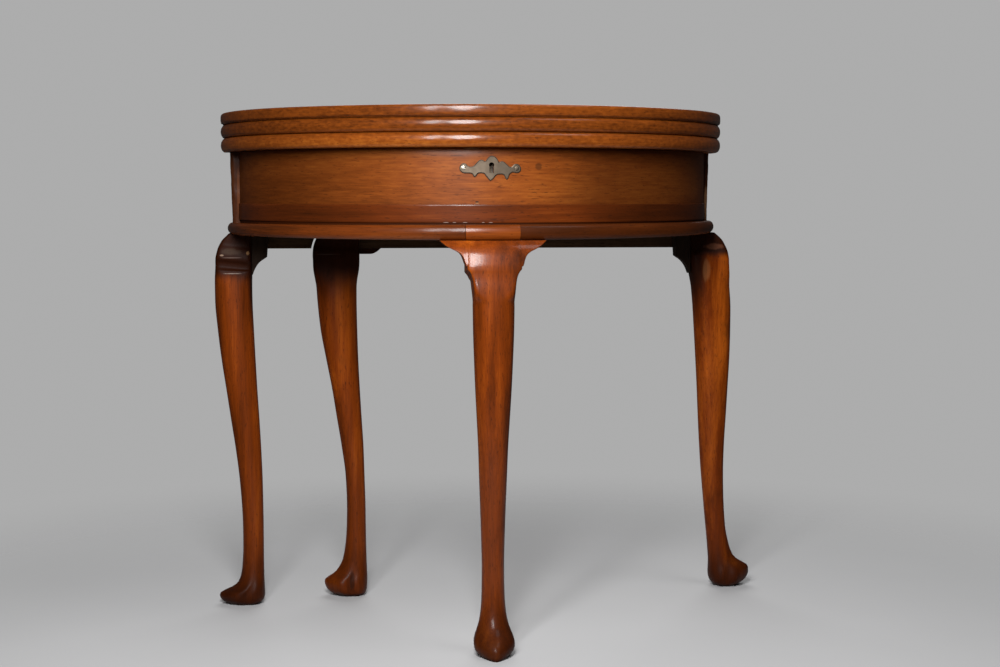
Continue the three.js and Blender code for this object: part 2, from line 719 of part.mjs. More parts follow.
function addLegs() {
  for (const [word, leg] of Object.entries(sideLegs)) {
    const mesh = piece(table, `${word}_leg`, legWithHead(leg).add(cornerPost(leg.side)), 'mahogany');
    mesh.position.set(leg.side * postOuter, sideLegY, 0);
    mesh.rotation.z = leg.side < 0 ? Math.PI : 0;
    const start = Math.max(leg.inner, leg.knee - leg.projection) + seat;
    const ear = prism(sideEarOutline(start), 'y', -sideEarThickness / 2, sideEarThickness / 2, 5);
    const earMesh = piece(table, `${word}_leg_ear`, ear, 'mahogany');
    earMesh.position.copy(mesh.position);
    earMesh.rotation.copy(mesh.rotation);
  }
  const well = halfDisc(friezeHalfWidth - friezeThickness - seat, friezeInner - seat,
    shoulderHeight, frontStileTop);
  const stile = block([centreOffset - frontStileWidth / 2, -friezeInner, shoulderHeight],
    [centreOffset + frontStileWidth / 2, -friezeInner + frontStileThickness, frontStileTop]);
  const localStile = placed(stile.intersect(well), [-frontLegReach, -centreOffset, 0], Math.PI / 2);
  const group = new THREE.Group();
  group.position.set(centreOffset, -frontLegReach, 0);
  group.rotation.z = -Math.PI / 2;
  const leg = join([legWithHead(frontLeg), frontFlare(), localStile]);
  piece(group, 'front_leg', leg, 'mahogany');
  for (const [side, word] of [[-1, 'left'], [1, 'right']]) {
    piece(group, `front_leg_ear_${word}`, frontEar(side), 'mahogany');
  }
  table.add(group);
}

// Ears: the side ones fill the corner between a leg and the rail beside it
function sideEarOutline(start) {
  const shape = new THREE.Shape();
  const end = start + sideEarWidth;
  const step = sideEarWidth * earStepShare;
  const foot = legTop - sideEarDrop;
  const middle = legTop - sideEarDrop * earMiddleShare;
  shape.moveTo(-start, legTop);
  shape.lineTo(-end, legTop);
  shape.lineTo(-end + step / 2, middle);
  shape.lineTo(-end + step * 2, middle - step);
  shape.quadraticCurveTo(-start - step, foot + sideEarDrop / 4, -start, foot);
  return shape;
}

// The front ones spread along under the bead, their faces rounded like the knee
function frontEar(side) {
  const start = frontHeadBreadth / 2 + seat;
  const outline = frontEarShares.map(([out, down]) => new THREE.Vector2(
    side * (start + out * frontEarWidth), legTop - down * frontEarDrop));
  const cheek = headProfile({ ...frontLeg, outer: frontLeg.outer - earSetback });
  return prism(new THREE.Shape(outline), 'x', frontLeg.outer - frontEarDepth, frontLeg.outer)
    .intersect(earCheek(cheek, side));
}

function earCheek(profile, side) {
  const reach = frontHeadBreadth / 2 + frontEarWidth;
  const long = prism(profile, 'y', -reach * 2, reach * 2);
  const low = block([-frontLeg.inner, -reach * 2, shoulderHeight - frontEarDrop],
    [frontLeg.outer - earSetback, reach * 2, shoulderHeight]);
  return placed(long.add(low), [0, 0, 0], THREE.MathUtils.degToRad(side * -earTurn));
}

// Bowed frieze, its lower band, and the bead under it in three lengths
function postsGrown(grow) {
  return [-1, 1].map((side) => {
    const turn = side < 0 ? Math.PI : 0;
    return placed(cornerPost(side, grow, overrun), [side * postOuter, sideLegY, 0], turn);
  });
}

const keyhole = (clearance = 0) => {
  const shape = new THREE.Shape();
  const slot = keyholeSlotWidth / 2 + clearance;
  const radius = keyholeRadius + clearance;
  const centre = keyholeZ + keyholeLift;
  const spread = Math.asin(slot / radius);
  shape.absarc(0, centre, radius, spread - Math.PI / 2, (3 * Math.PI) / 2 - spread, false);
  shape.lineTo(-slot, keyholeZ - keyholeDrop - clearance);
  shape.lineTo(slot, keyholeZ - keyholeDrop - clearance);
  return shape;
};

function lockBody(clearance, top = frameTop) {
  const half = lockWidth / 2 + clearance;
  const lip = lockPlateOverhang;
  const plateZ = frameTop - lockPlateThickness - clearance;
  return block([-half, lockFront - clearance, lockBottom - clearance], [half, lockRear, top])
    .add(block([-half - lip, lockFront - lip - clearance, plateZ], [half + lip, lockRear + lip, top]));
}

function boltShape(clearance, z0, z1) {
  return block([-boltWidth / 2 - clearance, boltY - boltThickness / 2 - clearance, z0],
    [boltWidth / 2 + clearance, boltY + boltThickness / 2 + clearance, z1]);
}

function addFrieze() {
  const ends = block([-leafHalfWidth, -postDepth - 2 * seat, 0], [leafHalfWidth, overrun, lowerLeafZ]);
  const keyCut = prism(keyhole(seat), 'y', -leafDepth, lockRear);
  const friezeFoot = frameBottom + friezeRise;
  const friezeWall = bowWall(friezeOverhang, friezeOverhang + friezeThickness, friezeFoot, frameTop);
  const lockCut = lockBody(seat, frameTop + overrun);
  piece(table, 'bow_frieze', cut(friezeWall, [ends, lockCut, keyCut]), 'mahogany');

  const bandZ = frameBottom + beadHeight + seat;
  const bandFace = friezeOverhang - seat - bandThickness;
  const band = bowWall(bandFace, friezeOverhang - seat, bandZ, bandZ + bandHeight);
  piece(table, 'frieze_band', band.subtract(ends), 'mahogany');

  const inner = halfDisc(friezeHalfWidth + seat, friezeDepth + seat, frameBottom - overrun,
    frameBottom + beadHeight + overrun, overrun);
  const beadAt = (proud) => leafSlab(roundedEdge(beadHeight, beadNoseDepth).map(
    ([inset, z]) => [friezeOverhang - beadProjection - proud + inset, z + frameBottom]));
  const bead = cut(beadAt(0), [inner, ...postsGrown(seat)]);
  const slice = (x0, x1) => block([x0, -leafDepth, 0], [x1, overrun, frameTop]);
  piece(table, 'base_bead_left', bead.intersect(slice(-leafHalfWidth, -centreBeadLeft - seat)), 'mahogany');
  piece(table, 'base_bead_right', bead.intersect(slice(centreBeadRight + seat, leafHalfWidth)), 'mahogany');
  const centre = beadAt(centreBeadProud).subtract(inner);
  piece(table, 'base_bead_centre', centre.intersect(slice(-centreBeadLeft, centreBeadRight)), 'mahogany');
}

// Straight back of the well, with a lip over the swinging rail
function addBackRail() {
  const half = postInner - seat;
  const lipZ = gateTop + knuckleRelief;
  const rail = block([-half, railFront, frameBottom], [half, outerRailFront - seat, frameTop])
    .add(block([-half, railFront, lipZ], [half, -seat, frameTop]));
  const recesses = [-1, 1].map((side) => placed(buttRecess(side * buttX, false), [0, 0, lidAxisZ]));
  piece(table, 'back_rail', cut(rail, recesses), 'secondaryWood');
  for (const [side, word] of [[-1, 'left'], [1, 'right']]) {
    const plate = piece(table, `lid_hinge_${word}_rail_plate`, buttPlate(side * buttX, false), 'brass');
    plate.position.z = lidAxisZ;
    const start = side * buttX - buttLength / 2;
    const pin = rod('x', buttPinRadius, start, start + buttLength, [0, 0], 12);
    piece(table, `lid_hinge_${word}_pin`, pin, 'brass').position.z = lidAxisZ;
  }
}

// Wooden knuckle joint: the fixed half has the even knuckles and the swinging half the odd ones
function knuckleRail(swinging, farX) {
  const side = swinging ? -1 : 1;
  const shoulder = knuckleX + side * (knuckleRadius + knuckleRelief);
  const span = (a, b) => [Math.min(a, b), Math.max(a, b)];
  const [x0, x1] = span(shoulder, farX);
  const pitch = (gateTop - outerRailBottom) / knuckleCount;
  const parts = [block([x0, outerRailFront, outerRailBottom], [x1, outerRailRear, gateTop])];
  for (let i = swinging ? 0 : 1; i < knuckleCount; i += 2) {
    const z0 = outerRailBottom + i * pitch + (i > 0 ? knuckleGap / 2 : 0);
    const z1 = outerRailBottom + (i + 1) * pitch - (i < knuckleCount - 1 ? knuckleGap / 2 : 0);
    const [n0, n1] = span(knuckleX, shoulder + side * overrun);
    parts.push(block([n0, outerRailFront, z0], [n1, outerRailRear, z1]));
    parts.push(rod('z', knuckleRadius, z0, z1, [knuckleX, knuckleY], 24));
  }
  const bore = rod('z', knucklePinRadius + knucklePinPlay, outerRailBottom - overrun, gateTop + overrun,
    [knuckleX, knuckleY], 16);
  return join(parts).subtract(bore);
}

function addOuterRails() {
  piece(table, 'hinge_rail', knuckleRail(false, postInner - seat), 'secondaryWood');
  const pin = rod('z', knucklePinRadius, outerRailBottom, gateTop, [knuckleX, knuckleY], 16);
  piece(table, 'knuckle_pin', pin, 'iron');
  const stub = block([-postInner + seat, outerRailFront, outerRailBottom],
    [-stubRailEnd, outerRailRear, gateTop]);
  piece(table, 'stub_rail', stub, 'secondaryWood');
}

function addWell() {
  const inset = friezeOverhang + friezeThickness + seat;
  const z0 = frameBottom + wellBoardRise;
  const board = halfDisc(leafHalfWidth - inset, leafDepth - inset, z0, z0 + wellBoardThickness);
  const stileHalf = frontStileWidth / 2 + seat;
  const stile = block([centreOffset - stileHalf, -leafDepth, frameBottom],
    [centreOffset + stileHalf, -friezeInner + frontStileThickness + 2 * seat, frameTop]);
  const rail = block([-leafHalfWidth, railFront - seat, frameBottom], [leafHalfWidth, overrun, frameTop]);
  piece(table, 'well_bottom', cut(board, [stile, rail, ...postsGrown(seat)]), 'secondaryWood');

  const height = wellBoardRise - friezeRise - seat;
  const sagitta = glueBlockLength ** 2 / (8 * friezeInner);
  glueBlockAngles.forEach((angle, i) => {
    const turn = THREE.MathUtils.degToRad(angle);
    const [a, b] = [leafHalfWidth - inset, leafDepth - inset];
    const normal = new THREE.Vector2(Math.cos(turn) / a, -Math.sin(turn) / b).normalize();
    const back = glueBlock / 2 + sagitta + seat;
    const solid = block([-glueBlock / 2, -glueBlockLength / 2, 0],
      [glueBlock / 2, glueBlockLength / 2, height]);
    const mesh = piece(table, `glue_block_${i + 1}`, solid, 'secondaryWood');
    mesh.position.set(a * Math.cos(turn) - normal.x * back, -b * Math.sin(turn) - normal.y * back,
      frameBottom + friezeRise);
    mesh.rotation.z = Math.atan2(normal.y, normal.x);
  });
}

function addLock() {
  const channel = boltShape(seat, boltBottom - seat, frameTop + overrun);
  const keyCut = prism(keyhole(), 'y', lockFront - overrun, boltY);
  piece(table, 'lock_case', cut(lockBody(0), [channel, keyCut]), 'iron');
  piece(table, 'lock_bolt', boltShape(0, boltBottom, frameTop - boltBelowTop), 'brass');
}

function escutcheonOutline() {
  return new THREE.Shape(escutcheonShares.map(([right, up]) => new THREE.Vector2(
    right * escutcheonHalfWidth, keyholeZ + up * escutcheonHalfHeight)));
}

function addEscutcheon() {
  const sheet = bowWall(friezeOverhang - seat - escutcheonThickness, friezeOverhang - seat,
    keyholeZ - 2 * escutcheonHalfHeight, keyholeZ + 2 * escutcheonHalfHeight);
  const plate = prism(escutcheonOutline(), 'y', -leafDepth, -friezeInner);
  const keyCut = prism(keyhole(), 'y', -leafDepth, -friezeInner);
  piece(table, 'escutcheon', sheet.intersect(plate).subtract(keyCut), 'brass');
}

function addGate() {
  const stile = block([-gateLeg.inner, gateLegY - gateStileRear, shoulderHeight],
    [-gateLeg.inner + gateStileWidth, gateLegY - outerRailFront, gateTop]);
  const leg = piece(table, 'gate_leg', legWithHead(gateLeg).add(stile), 'mahogany');
  leg.position.set(-gateLegOuter, gateLegY, 0);
  leg.rotation.z = Math.PI;

  const screwHole = rod('y', propScrewRadius + seat, outerRailRear - propScrewDepth - seat,
    outerRailRear + overrun, [propX, propZ], 12);
  piece(table, 'fly_rail', knuckleRail(true, -gateStileInner + seat).subtract(screwHole), 'secondaryWood');

  const ear = new THREE.Shape();
  const [x0, x1] = [-gateStileInner + seat, -gateStileInner + gateEarWidth];
  const top = outerRailBottom - seat;
  ear.moveTo(x0, top);
  ear.lineTo(x0, top - gateEarDrop);
  ear.lineTo((x0 + x1) / 2, top - gateEarDrop);
  ear.quadraticCurveTo(x1 - gateEarDrop, top - gateEarDrop, x1, top);
  piece(table, 'gate_leg_ear', prism(ear, 'y', outerRailFront, outerRailRear, 5), 'mahogany');
}

// Batten that turns up from behind the swinging rail
function addProp() {
  const y0 = outerRailRear + seat;
  const y1 = y0 + propThickness;
  const half = propWidth / 2;
  const end = propX - (propTop - propZ);
  const batten = block([end, y0, propZ - half], [propX, y1, propZ + half])
    .add(rod('y', half, y0, y1, [propX, propZ]));
  const sunk = y1 - propScrewHead;
  const hole = rod('y', propScrewRadius + seat, y0 - overrun, y1 + overrun, [propX, propZ], 12);
  const headHole = rod('y', propScrewHeadRadius + seat, sunk - seat, y1 + overrun, [propX, propZ]);
  piece(table, 'leaf_prop', cut(batten, [hole, headHole]), 'secondaryWood');
  const shank = rod('y', propScrewRadius, outerRailRear - propScrewDepth, y1, [propX, propZ], 12);
  const head = rod('y', propScrewHeadRadius, sunk, y1, [propX, propZ]);
  piece(table, 'prop_screw', shank.add(head), 'iron');
}

addLegs();
addFrieze();
addBackRail();
addOuterRails();
addWell();
addLock();
addEscutcheon();
addGate();
addProp();
addLowerLeaf();
addMiddleLeaf();
addTopLeaf();

// The origin is on the floor, under the middle of the whole
const bounds = new THREE.Box3().setFromObject(table);
table.position.set(-(bounds.min.x + bounds.max.x) / 2, -(bounds.min.y + bounds.max.y) / 2, -bounds.min.z);

const model = new THREE.Group();
model.add(table);

export default model;
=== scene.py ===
import math

import bmesh
import bpy
from mathutils import Matrix, Vector, noise


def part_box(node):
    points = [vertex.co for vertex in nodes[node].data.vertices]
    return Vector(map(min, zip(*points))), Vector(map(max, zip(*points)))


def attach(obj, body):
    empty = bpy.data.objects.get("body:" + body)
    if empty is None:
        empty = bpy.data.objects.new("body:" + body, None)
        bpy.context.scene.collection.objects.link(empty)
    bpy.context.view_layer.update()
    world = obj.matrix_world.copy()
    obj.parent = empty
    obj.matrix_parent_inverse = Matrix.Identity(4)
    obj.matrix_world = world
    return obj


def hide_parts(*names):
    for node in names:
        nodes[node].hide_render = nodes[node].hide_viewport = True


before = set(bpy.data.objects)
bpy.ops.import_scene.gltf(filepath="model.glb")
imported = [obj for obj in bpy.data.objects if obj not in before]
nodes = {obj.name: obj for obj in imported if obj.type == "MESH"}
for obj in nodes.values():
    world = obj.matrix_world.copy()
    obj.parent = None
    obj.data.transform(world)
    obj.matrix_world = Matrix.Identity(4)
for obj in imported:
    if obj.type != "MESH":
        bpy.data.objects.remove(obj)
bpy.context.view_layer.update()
print("frame loaded:", len(nodes), "nodes")


# where the table stands: the middle of its leaves and their straight back edge
leafLow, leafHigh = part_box("top_leaf")
tableX = (leafLow[0] + leafHigh[0]) / 2
backY = leafHigh[1]


def at(x, y, z):
    # millimetres from the middle of the back edge, on the floor
    return Vector((tableX + x / 1000, backY + y / 1000, z / 1000))


def placed(name, data):
    holder = bpy.data.objects.new(name, data)
    bpy.context.collection.objects.link(holder)
    return holder


# camera, fitted to the photograph: angles in radians, focal length in pixels
view = {
    "place": (-202.5, -2585.7, 616.7),
    "turn": 0.095,
    "down": 0.0835,
    "focal": 1701.6,
    "imageWidth": 1000,
}


def addCamera():
    camera = bpy.data.cameras.new("camera")
    camera.sensor_width = 36
    camera.lens = view["focal"] * 36 / view["imageWidth"]
    camera.clip_end = 50
    holder = placed("camera", camera)
    holder.location = at(*view["place"])
    holder.rotation_euler = (math.pi / 2 - view["down"], 0, -view["turn"])
    bpy.context.scene.camera = holder


# two tall soft boxes in front of the table, a weak fill from the right and a wash from behind
lamps = {
    "key": {"from": (-215, -1690, 1290), "to": (0, -300, 560), "size": (0.36, 1.06), "power": 35},
    "second": {"from": (-560, -1600, 1290), "to": (0, -300, 560), "size": (0.18, 1.06), "power": 12},
    "fill": {"from": (1000, -900, 2600), "to": (200, -200, 500), "size": (1.0, 1.0), "power": 9},
    "back": {"from": (300, 2000, 2300), "to": (0, 0, 500), "size": (2.2, 2.2), "power": 34},
}


def addLamps():
    for name, lamp in lamps.items():
        light = bpy.data.lights.new(name, "AREA")
        light.shape = "ELLIPSE"
        light.size, light.size_y = lamp["size"]
        light.energy = lamp["power"]
        holder = placed(name, light)
        holder.location = at(*lamp["from"])
        aim = at(*lamp["to"]) - holder.location
        holder.rotation_euler = aim.to_track_quat("-Z", "Y").to_euler()


class Wire:
    # a socket that takes part in Python sums
    def __init__(self, graph, socket):
        self.graph = graph
        self.socket = socket

    def maths(self, kind, *terms):
        return self.graph.node("ShaderNodeMath", {"operation": kind}, dict(enumerate(terms)))

    def __add__(self, other):
        return self.maths("ADD", self, other)

    def __radd__(self, other):
        return self.maths("ADD", other, self)

    def __sub__(self, other):
        return self.maths("SUBTRACT", self, other)

    def __rsub__(self, other):
        return self.maths("SUBTRACT", other, self)

    def __mul__(self, other):
        return self.maths("MULTIPLY", self, other)

    def __rmul__(self, other):
        return self.maths("MULTIPLY", other, self)

    def __truediv__(self, other):
        return self.maths("DIVIDE", self, other)

    def __rtruediv__(self, other):
        return self.maths("DIVIDE", other, self)

    def __pow__(self, other):
        return self.maths("POWER", self, other)


class Graph:
    # the nodes of a material or of the world
    def __init__(self, owner):
        self.owner = owner
        owner.use_nodes = True
        self.tree = owner.node_tree
        self.tree.nodes.clear()

    def node(self, kind, settings=None, inputs=None, output=0):
        made = self.tree.nodes.new(kind)
        for key, value in (settings or {}).items():
            if key == "stops":
                self.setStops(made, value)
            else:
                setattr(made, key, value)
        for key, value in (inputs or {}).items():
            if isinstance(value, Wire):
                self.tree.links.new(value.socket, made.inputs[key])
            else:
                made.inputs[key].default_value = value
        return Wire(self, made.outputs[output]) if made.outputs else None

    def setStops(self, ramp, stops):
        elements = ramp.color_ramp.elements
        while len(elements) < len(stops):
            elements.new(0.5)
        for element, (place, colour) in zip(elements, stops):
            element.position = place
            element.color = (*colour, 1)

    def ramp(self, factor, stops):
        return self.node("ShaderNodeValToRGB", {"stops": stops}, {"Fac": factor})

    def mix(self, factor, first, second):
        first = (*first, 1) if isinstance(first, tuple) else first
        second = (*second, 1) if isinstance(second, tuple) else second
        inputs = {0: factor, 6: first, 7: second}
        return self.node("ShaderNodeMix", {"data_type": "RGBA"}, inputs, output=2)

    def place(self):
        return self.node("ShaderNodeTexCoord", output=3)

    def split(self, vector):
        made = self.node("ShaderNodeSeparateXYZ", inputs={"Vector": vector})
        outputs = made.socket.node.outputs
        return [Wire(self, outputs[i]) for i in range(3)]

    def combine(self, x, y, z):
        return self.node("ShaderNodeCombineXYZ", inputs={"X": x, "Y": y, "Z": z})

    def clouds(self, vector, scale, detail, roughness, distortion=0):
        return self.node("ShaderNodeTexNoise", inputs={
            "Vector": vector, "Scale": scale, "Detail": detail, "Roughness": roughness,
            "Distortion": distortion})

    def limit(self, value, low, high, smooth=True):
        # 0 at low, 1 at high
        settings = {"clamp": True, "interpolation_type": "SMOOTHSTEP" if smooth else "LINEAR"}
        inputs = {"Value": value, "From Min": low, "From Max": high}
        return self.node("ShaderNodeMapRange", settings, inputs)

    def bump(self, height, strength, distance, normal=None):
        inputs = {"Height": height, "Strength": strength, "Distance": distance}
        if normal:
            inputs["Normal"] = normal
        return self.node("ShaderNodeBump", inputs=inputs)

    def finish(self, inputs):
        shader = self.node("ShaderNodeBsdfPrincipled", inputs=inputs)
        self.node("ShaderNodeOutputMaterial", inputs={"Surface": shader})
        return self.owner


def mark(x, z, wide, high, much, colour, front=None):
    # a small spot: wear or a bruise on some woods, a painted highlight or painted shade on others; its
    # middle and half sizes in metres; front keeps it off the far side
    return {"x": x, "z": z, "wide": wide, "high": high, "much": much, "colour": colour, "front": front}


def dirtAndShade(much, ragged=0, **axes):
    # darkening that grows along x or z, each from its clear place to its dark one: mostly painted
    # shade, and darker feet
    return {"much": much, "ragged": ragged, "axes": axes}


# woods: the way the grain runs, and colours from the darkest streak to the lightest
plainWood = {"figure": 1.1, "wear": 0.5, "coat": 0.35, "rough": 0.38, "gloss": 0.18}
woods = {
    "legs": {
        "grain": "z", "figure": 1.2, "wear": 1.0, "coat": 0.36, "rough": 0.36, "gloss": 0.15,
        "colours": [(0.03, 0.006, 0.001), (0.166, 0.029, 0.002), (0.41, 0.09, 0.006)],
        # darker towards the floor as painted shade where the lamps fall off; darker still at the feet
        # and the sole
        "dark": [
            dirtAndShade(0.22, 0.1, z=(0.42, 0.05)),
            dirtAndShade(0.78, 0.12, z=(0.11, 0.02)),
            dirtAndShade(0.8, z=(0.006, 0.001)),
        ],
    },
    "frieze": {
        "grain": "bow", "figure": 0.9, "wear": 0.35, "coat": 0.18, "rough": 0.44, "gloss": 0.28,
        "colours": [(0.05, 0.01, 0.001), (0.2, 0.047, 0.006), (0.39, 0.116, 0.016)],
        "layers": {"mottle": (40, 280, 2, 0.5, 0)}, "mottled": 0.6,
        "dark": [
            # painted shade in the groove between the band and the bead
            dirtAndShade(0.95, z=(0.579, 0.5765)),
            # painted shade towards both ends
            dirtAndShade(0.68, 0.1, x=(0.02, 0.18)),
            dirtAndShade(0.6, 0.1, x=(-0.06, -0.28)),
        ],
        "marks": [
            mark(-0.026, 0.6725, 0.013, 0.0008, 0.6, (0.45, 0.25, 0.13)),
            mark(0.0633, 0.6491, 0.0055, 0.005, 0.55, (0.02, 0.008, 0.003)),
            mark(-0.0192, 0.6024, 0.003, 0.0012, 0.9, (0.01, 0.004, 0.002)),
            mark(-0.019, 0.6008, 0.003, 0.0008, 0.8, (0.3, 0.15, 0.06)),
        ],
    },
    "band": {
        "grain": "bow", "wear": 0.4, "coat": 0.3,
        "colours": [(0.026, 0.006, 0.001), (0.115, 0.022, 0.003), (0.25, 0.062, 0.009)],
        "dark": [
            # painted shade towards both ends
            dirtAndShade(0.66, 0.1, x=(0.05, 0.25)),
            dirtAndShade(0.35, x=(-0.06, -0.28)),
        ],
        "marks": [
            mark(x, 0.5753, wide, 0.0006, 0.45, (0.5, 0.4, 0.33)) for x, wide in (
                (-0.06, 0.0035), (-0.049, 0.0022), (-0.035, 0.0028), (-0.011, 0.002), (-0.001, 0.003),
            )
        ],
    },
    "bead": {
        "grain": "bow",
        "colours": [(0.018, 0.005, 0.001), (0.14, 0.029, 0.004), (0.31, 0.08, 0.012)],
        # painted shade, deeper towards the right
        "dark": [dirtAndShade(0.5, x=(-0.25, 0.1)), dirtAndShade(0.2, x=(-0.05, 0.0))],
    },
    "beadCentre": {
        "grain": "bow", "figure": 1.0, "gloss": 0.2,
        "colours": [(0.05, 0.01, 0.001), (0.185, 0.038, 0.004), (0.36, 0.1, 0.013)],
    },
    "leaves": {
        "grain": "x", "coat": 0.22, "gloss": 0.24,
        "colours": [(0.04, 0.008, 0.001), (0.15, 0.034, 0.004), (0.35, 0.105, 0.016)],
    },
    "leafEdge": {
        "grain": "bow", "figure": 1.0, "wear": 0.3, "coat": 0.4, "rough": 0.34, "gloss": 0.14,
        "colours": [(0.045, 0.009, 0.001), (0.196, 0.046, 0.005), (0.45, 0.138, 0.017)],
        "layers": {"mottle": (130, 260, 2, 0.5, 0), "pore": (200, 720, 2, 0.5, 0)}, "mottled": 0.75,
        # painted shade towards the left end
        "dark": [dirtAndShade(0.2, 0.1, x=(-0.16, -0.36))],
    },
    "posts": {
        "grain": "z", "figure": 1.0, "wear": 1.0, "coat": 0.06, "rough": 0.55, "gloss": 0.3,
        "colours": [(0.016, 0.005, 0.002), (0.048, 0.013, 0.004), (0.12, 0.04, 0.012)],
        "marks": [
            mark(-0.346, 0.612, 0.003, 0.04, 0.6, (0.12, 0.036, 0.011)),
            mark(0.3525, 0.6, 0.003, 0.028, 0.8, (0.26, 0.13, 0.06)),
        ],
    },
    "rails": {
        "grain": "x", "figure": 0.7, "wear": 0.8, "coat": 0.0, "rough": 0.62, "gloss": 0.3,
        "colours": [(0.018, 0.009, 0.004), (0.05, 0.025, 0.012), (0.1, 0.056, 0.028)],
    },
    "wellBoard": {
        "grain": "y", "figure": 0.7, "wear": 0.6, "coat": 0.0, "rough": 0.68, "gloss": 0.3,
        "colours": [(0.04, 0.021, 0.01), (0.105, 0.06, 0.03), (0.18, 0.112, 0.062)],
    },
}
woods["sideLegs"] = dict(
    woods["legs"], coat=0.08,
    colours=[(0.03, 0.006, 0.001), (0.166, 0.029, 0.002), (0.395, 0.087, 0.006)],
)
woods["leftLeg"] = dict(
    woods["sideLegs"],
    # the legs' darkening, then the knee's dark staining deepened by painted shade under the frieze, and
    # painted shade down the knee's inner side
    dark=woods["legs"]["dark"] + [
        dirtAndShade(0.97, 0.02, z=(0.482, 0.502)),
        dirtAndShade(0.9, x=(-0.339, -0.33), z=(0.4, 0.47)),
    ],
    marks=[
        # a painted glint on the tip of the ledge
        mark(-0.3722, 0.5226, 0.0034, 0.0015, 0.7, (0.3, 0.2, 0.14), -0.033),
        # painted light on the ledge's face, inside the painted shade
        mark(-0.359, 0.528, 0.016, 0.006, 0.5, (0.05, 0.028, 0.016), -0.033),
        # a painted highlight along the ledge's lower edge
        mark(-0.359, 0.519, 0.015, 0.0009, 0.5, (0.16, 0.11, 0.09), -0.033),
        mark(-0.3345, 0.5255, 0.0028, 0.0034, 0.6, (0.32, 0.17, 0.075), -0.033),
        mark(-0.358, 0.4958, 0.013, 0.0006, 0.7, (0.3, 0.24, 0.2), -0.033),
    ],
)
woods["rightLeg"] = dict(
    woods["sideLegs"],
    colours=[(0.03, 0.006, 0.001), (0.136, 0.022, 0.001), (0.395, 0.087, 0.006)],
    # the legs' darkening, then the knee's dark staining deepened by painted shade under the frieze, and
    # painted shade down the knee's inner side
    dark=woods["legs"]["dark"] + [
        dirtAndShade(0.97, 0.02, z=(0.514, 0.526)),
        dirtAndShade(0.95, x=(0.356, 0.34), z=(0.4, 0.5)),
    ],
    marks=[
        # painted light: a lit patch on the shaded knee
        mark(0.364, 0.5335, 0.016, 0.0048, 0.5, (0.15, 0.055, 0.028), -0.033),
        mark(0.352, 0.498, 0.006, 0.018, 0.25, (0.4, 0.18, 0.07), -0.033),
    ],
)
woods["gateLeg"] = dict(
    woods["sideLegs"],
    # the legs' painted shade towards the floor; darker at the foot and the sole; painted shadow of the
    # frieze over the knee, with the knee's dark staining
    dark=woods["legs"]["dark"][:1] + [
        dirtAndShade(0.4, 0.05, z=(0.1, 0.03)),
        dirtAndShade(0.85, z=(0.007, 0.002)),
        dirtAndShade(0.95, 0.03, z=(0.45, 0.506)),
    ],
    marks=[
        # a painted highlight along the ledge's edge
        mark(-0.217, 0.5225, 0.02, 0.0008, 0.3, (0.1, 0.075, 0.065), -0.004),
        # painted shade in the foot's crease
        mark(-0.184, 0.026, 0.004, 0.018, 0.6, (0.012, 0.004, 0.002), -0.004),
    ],
)
# near black copy of the rails' wood for the side legs' ear brackets: painted shade under the frieze
woods["brackets"] = dict(
    woods["rails"], grain="z",
    colours=[(0.006, 0.003, 0.002), (0.017, 0.009, 0.005), (0.036, 0.019, 0.01)],
)


def grainPlace(graph, grain):
    # along the grain, across it, and through the board, in metres
    x, y, z = graph.split(graph.place())
    straight = {"x": (x, y, z), "y": (y, x, z), "z": (z, x, y)}
    if grain in straight:
        return straight[grain]
    east = x - tableX
    south = backY - y
    turn = south.maths("ARCTAN2", south, east)
    reach = (east * east + south * south) ** 0.5
    return turn * 0.35, z, reach  # 0.35 m is the bow's mean radius


def dirtAndShadeMask(graph, stainAndShade, patch):
    # one darkened region, mostly painted shade, with a ragged rim
    x, y, z = graph.split(graph.place())
    mask = None
    for axis, place in (("x", x - tableX), ("z", z)):
        if axis in stainAndShade["axes"]:
            clear, dark = stainAndShade["axes"][axis]
            ragged = place + (patch - 0.5) * stainAndShade["ragged"]
            rising = graph.limit(ragged, min(clear, dark), max(clear, dark))
            ramp = rising if dark > clear else 1 - rising
            mask = ramp if mask is None else mask * ramp
    return mask * stainAndShade["much"]


def markMask(graph, spot, streak):
    # one mark, with a ragged rim
    x, y, z = graph.split(graph.place())
    wide = (x - tableX - spot["x"]) / spot["wide"]
    high = (z - spot["z"]) / spot["high"]
    reach = (wide * wide + high * high) ** 0.5 + (streak - 0.5) * 1.2
    mask = (1 - graph.limit(reach, 0.6, 1.1)) * spot["much"]
    if spot["front"] is not None:
        mask = mask * (1 - graph.limit(y - backY, spot["front"] - 0.01, spot["front"]))
    return mask


# the layers of a wood's figure: cycles per metre along the grain and across it,
# detail, roughness and distortion
figureLayers = {
    "broad": (1.3, 13, 3, 0.55, 0.35),
    "streak": (5, 90, 4, 0.6, 0.2),
    "fibre": (22, 620, 3, 0.6, 0),
    "pore": (105, 720, 2, 0.5, 0),
    "patch": (9, 16, 4, 0.6, 0),
    "ripple": (18, 30, 2, 0.5, 0),
}


def figureLayer(graph, place, row, shift=0):
    # clouds drawn out along the grain
    along, across, through = place
    long, short, detail, roughness, distortion = row
    drawn = graph.combine(along * long + shift, across * short, through * short)
    return graph.clouds(drawn, 1.0, detail, roughness, distortion)


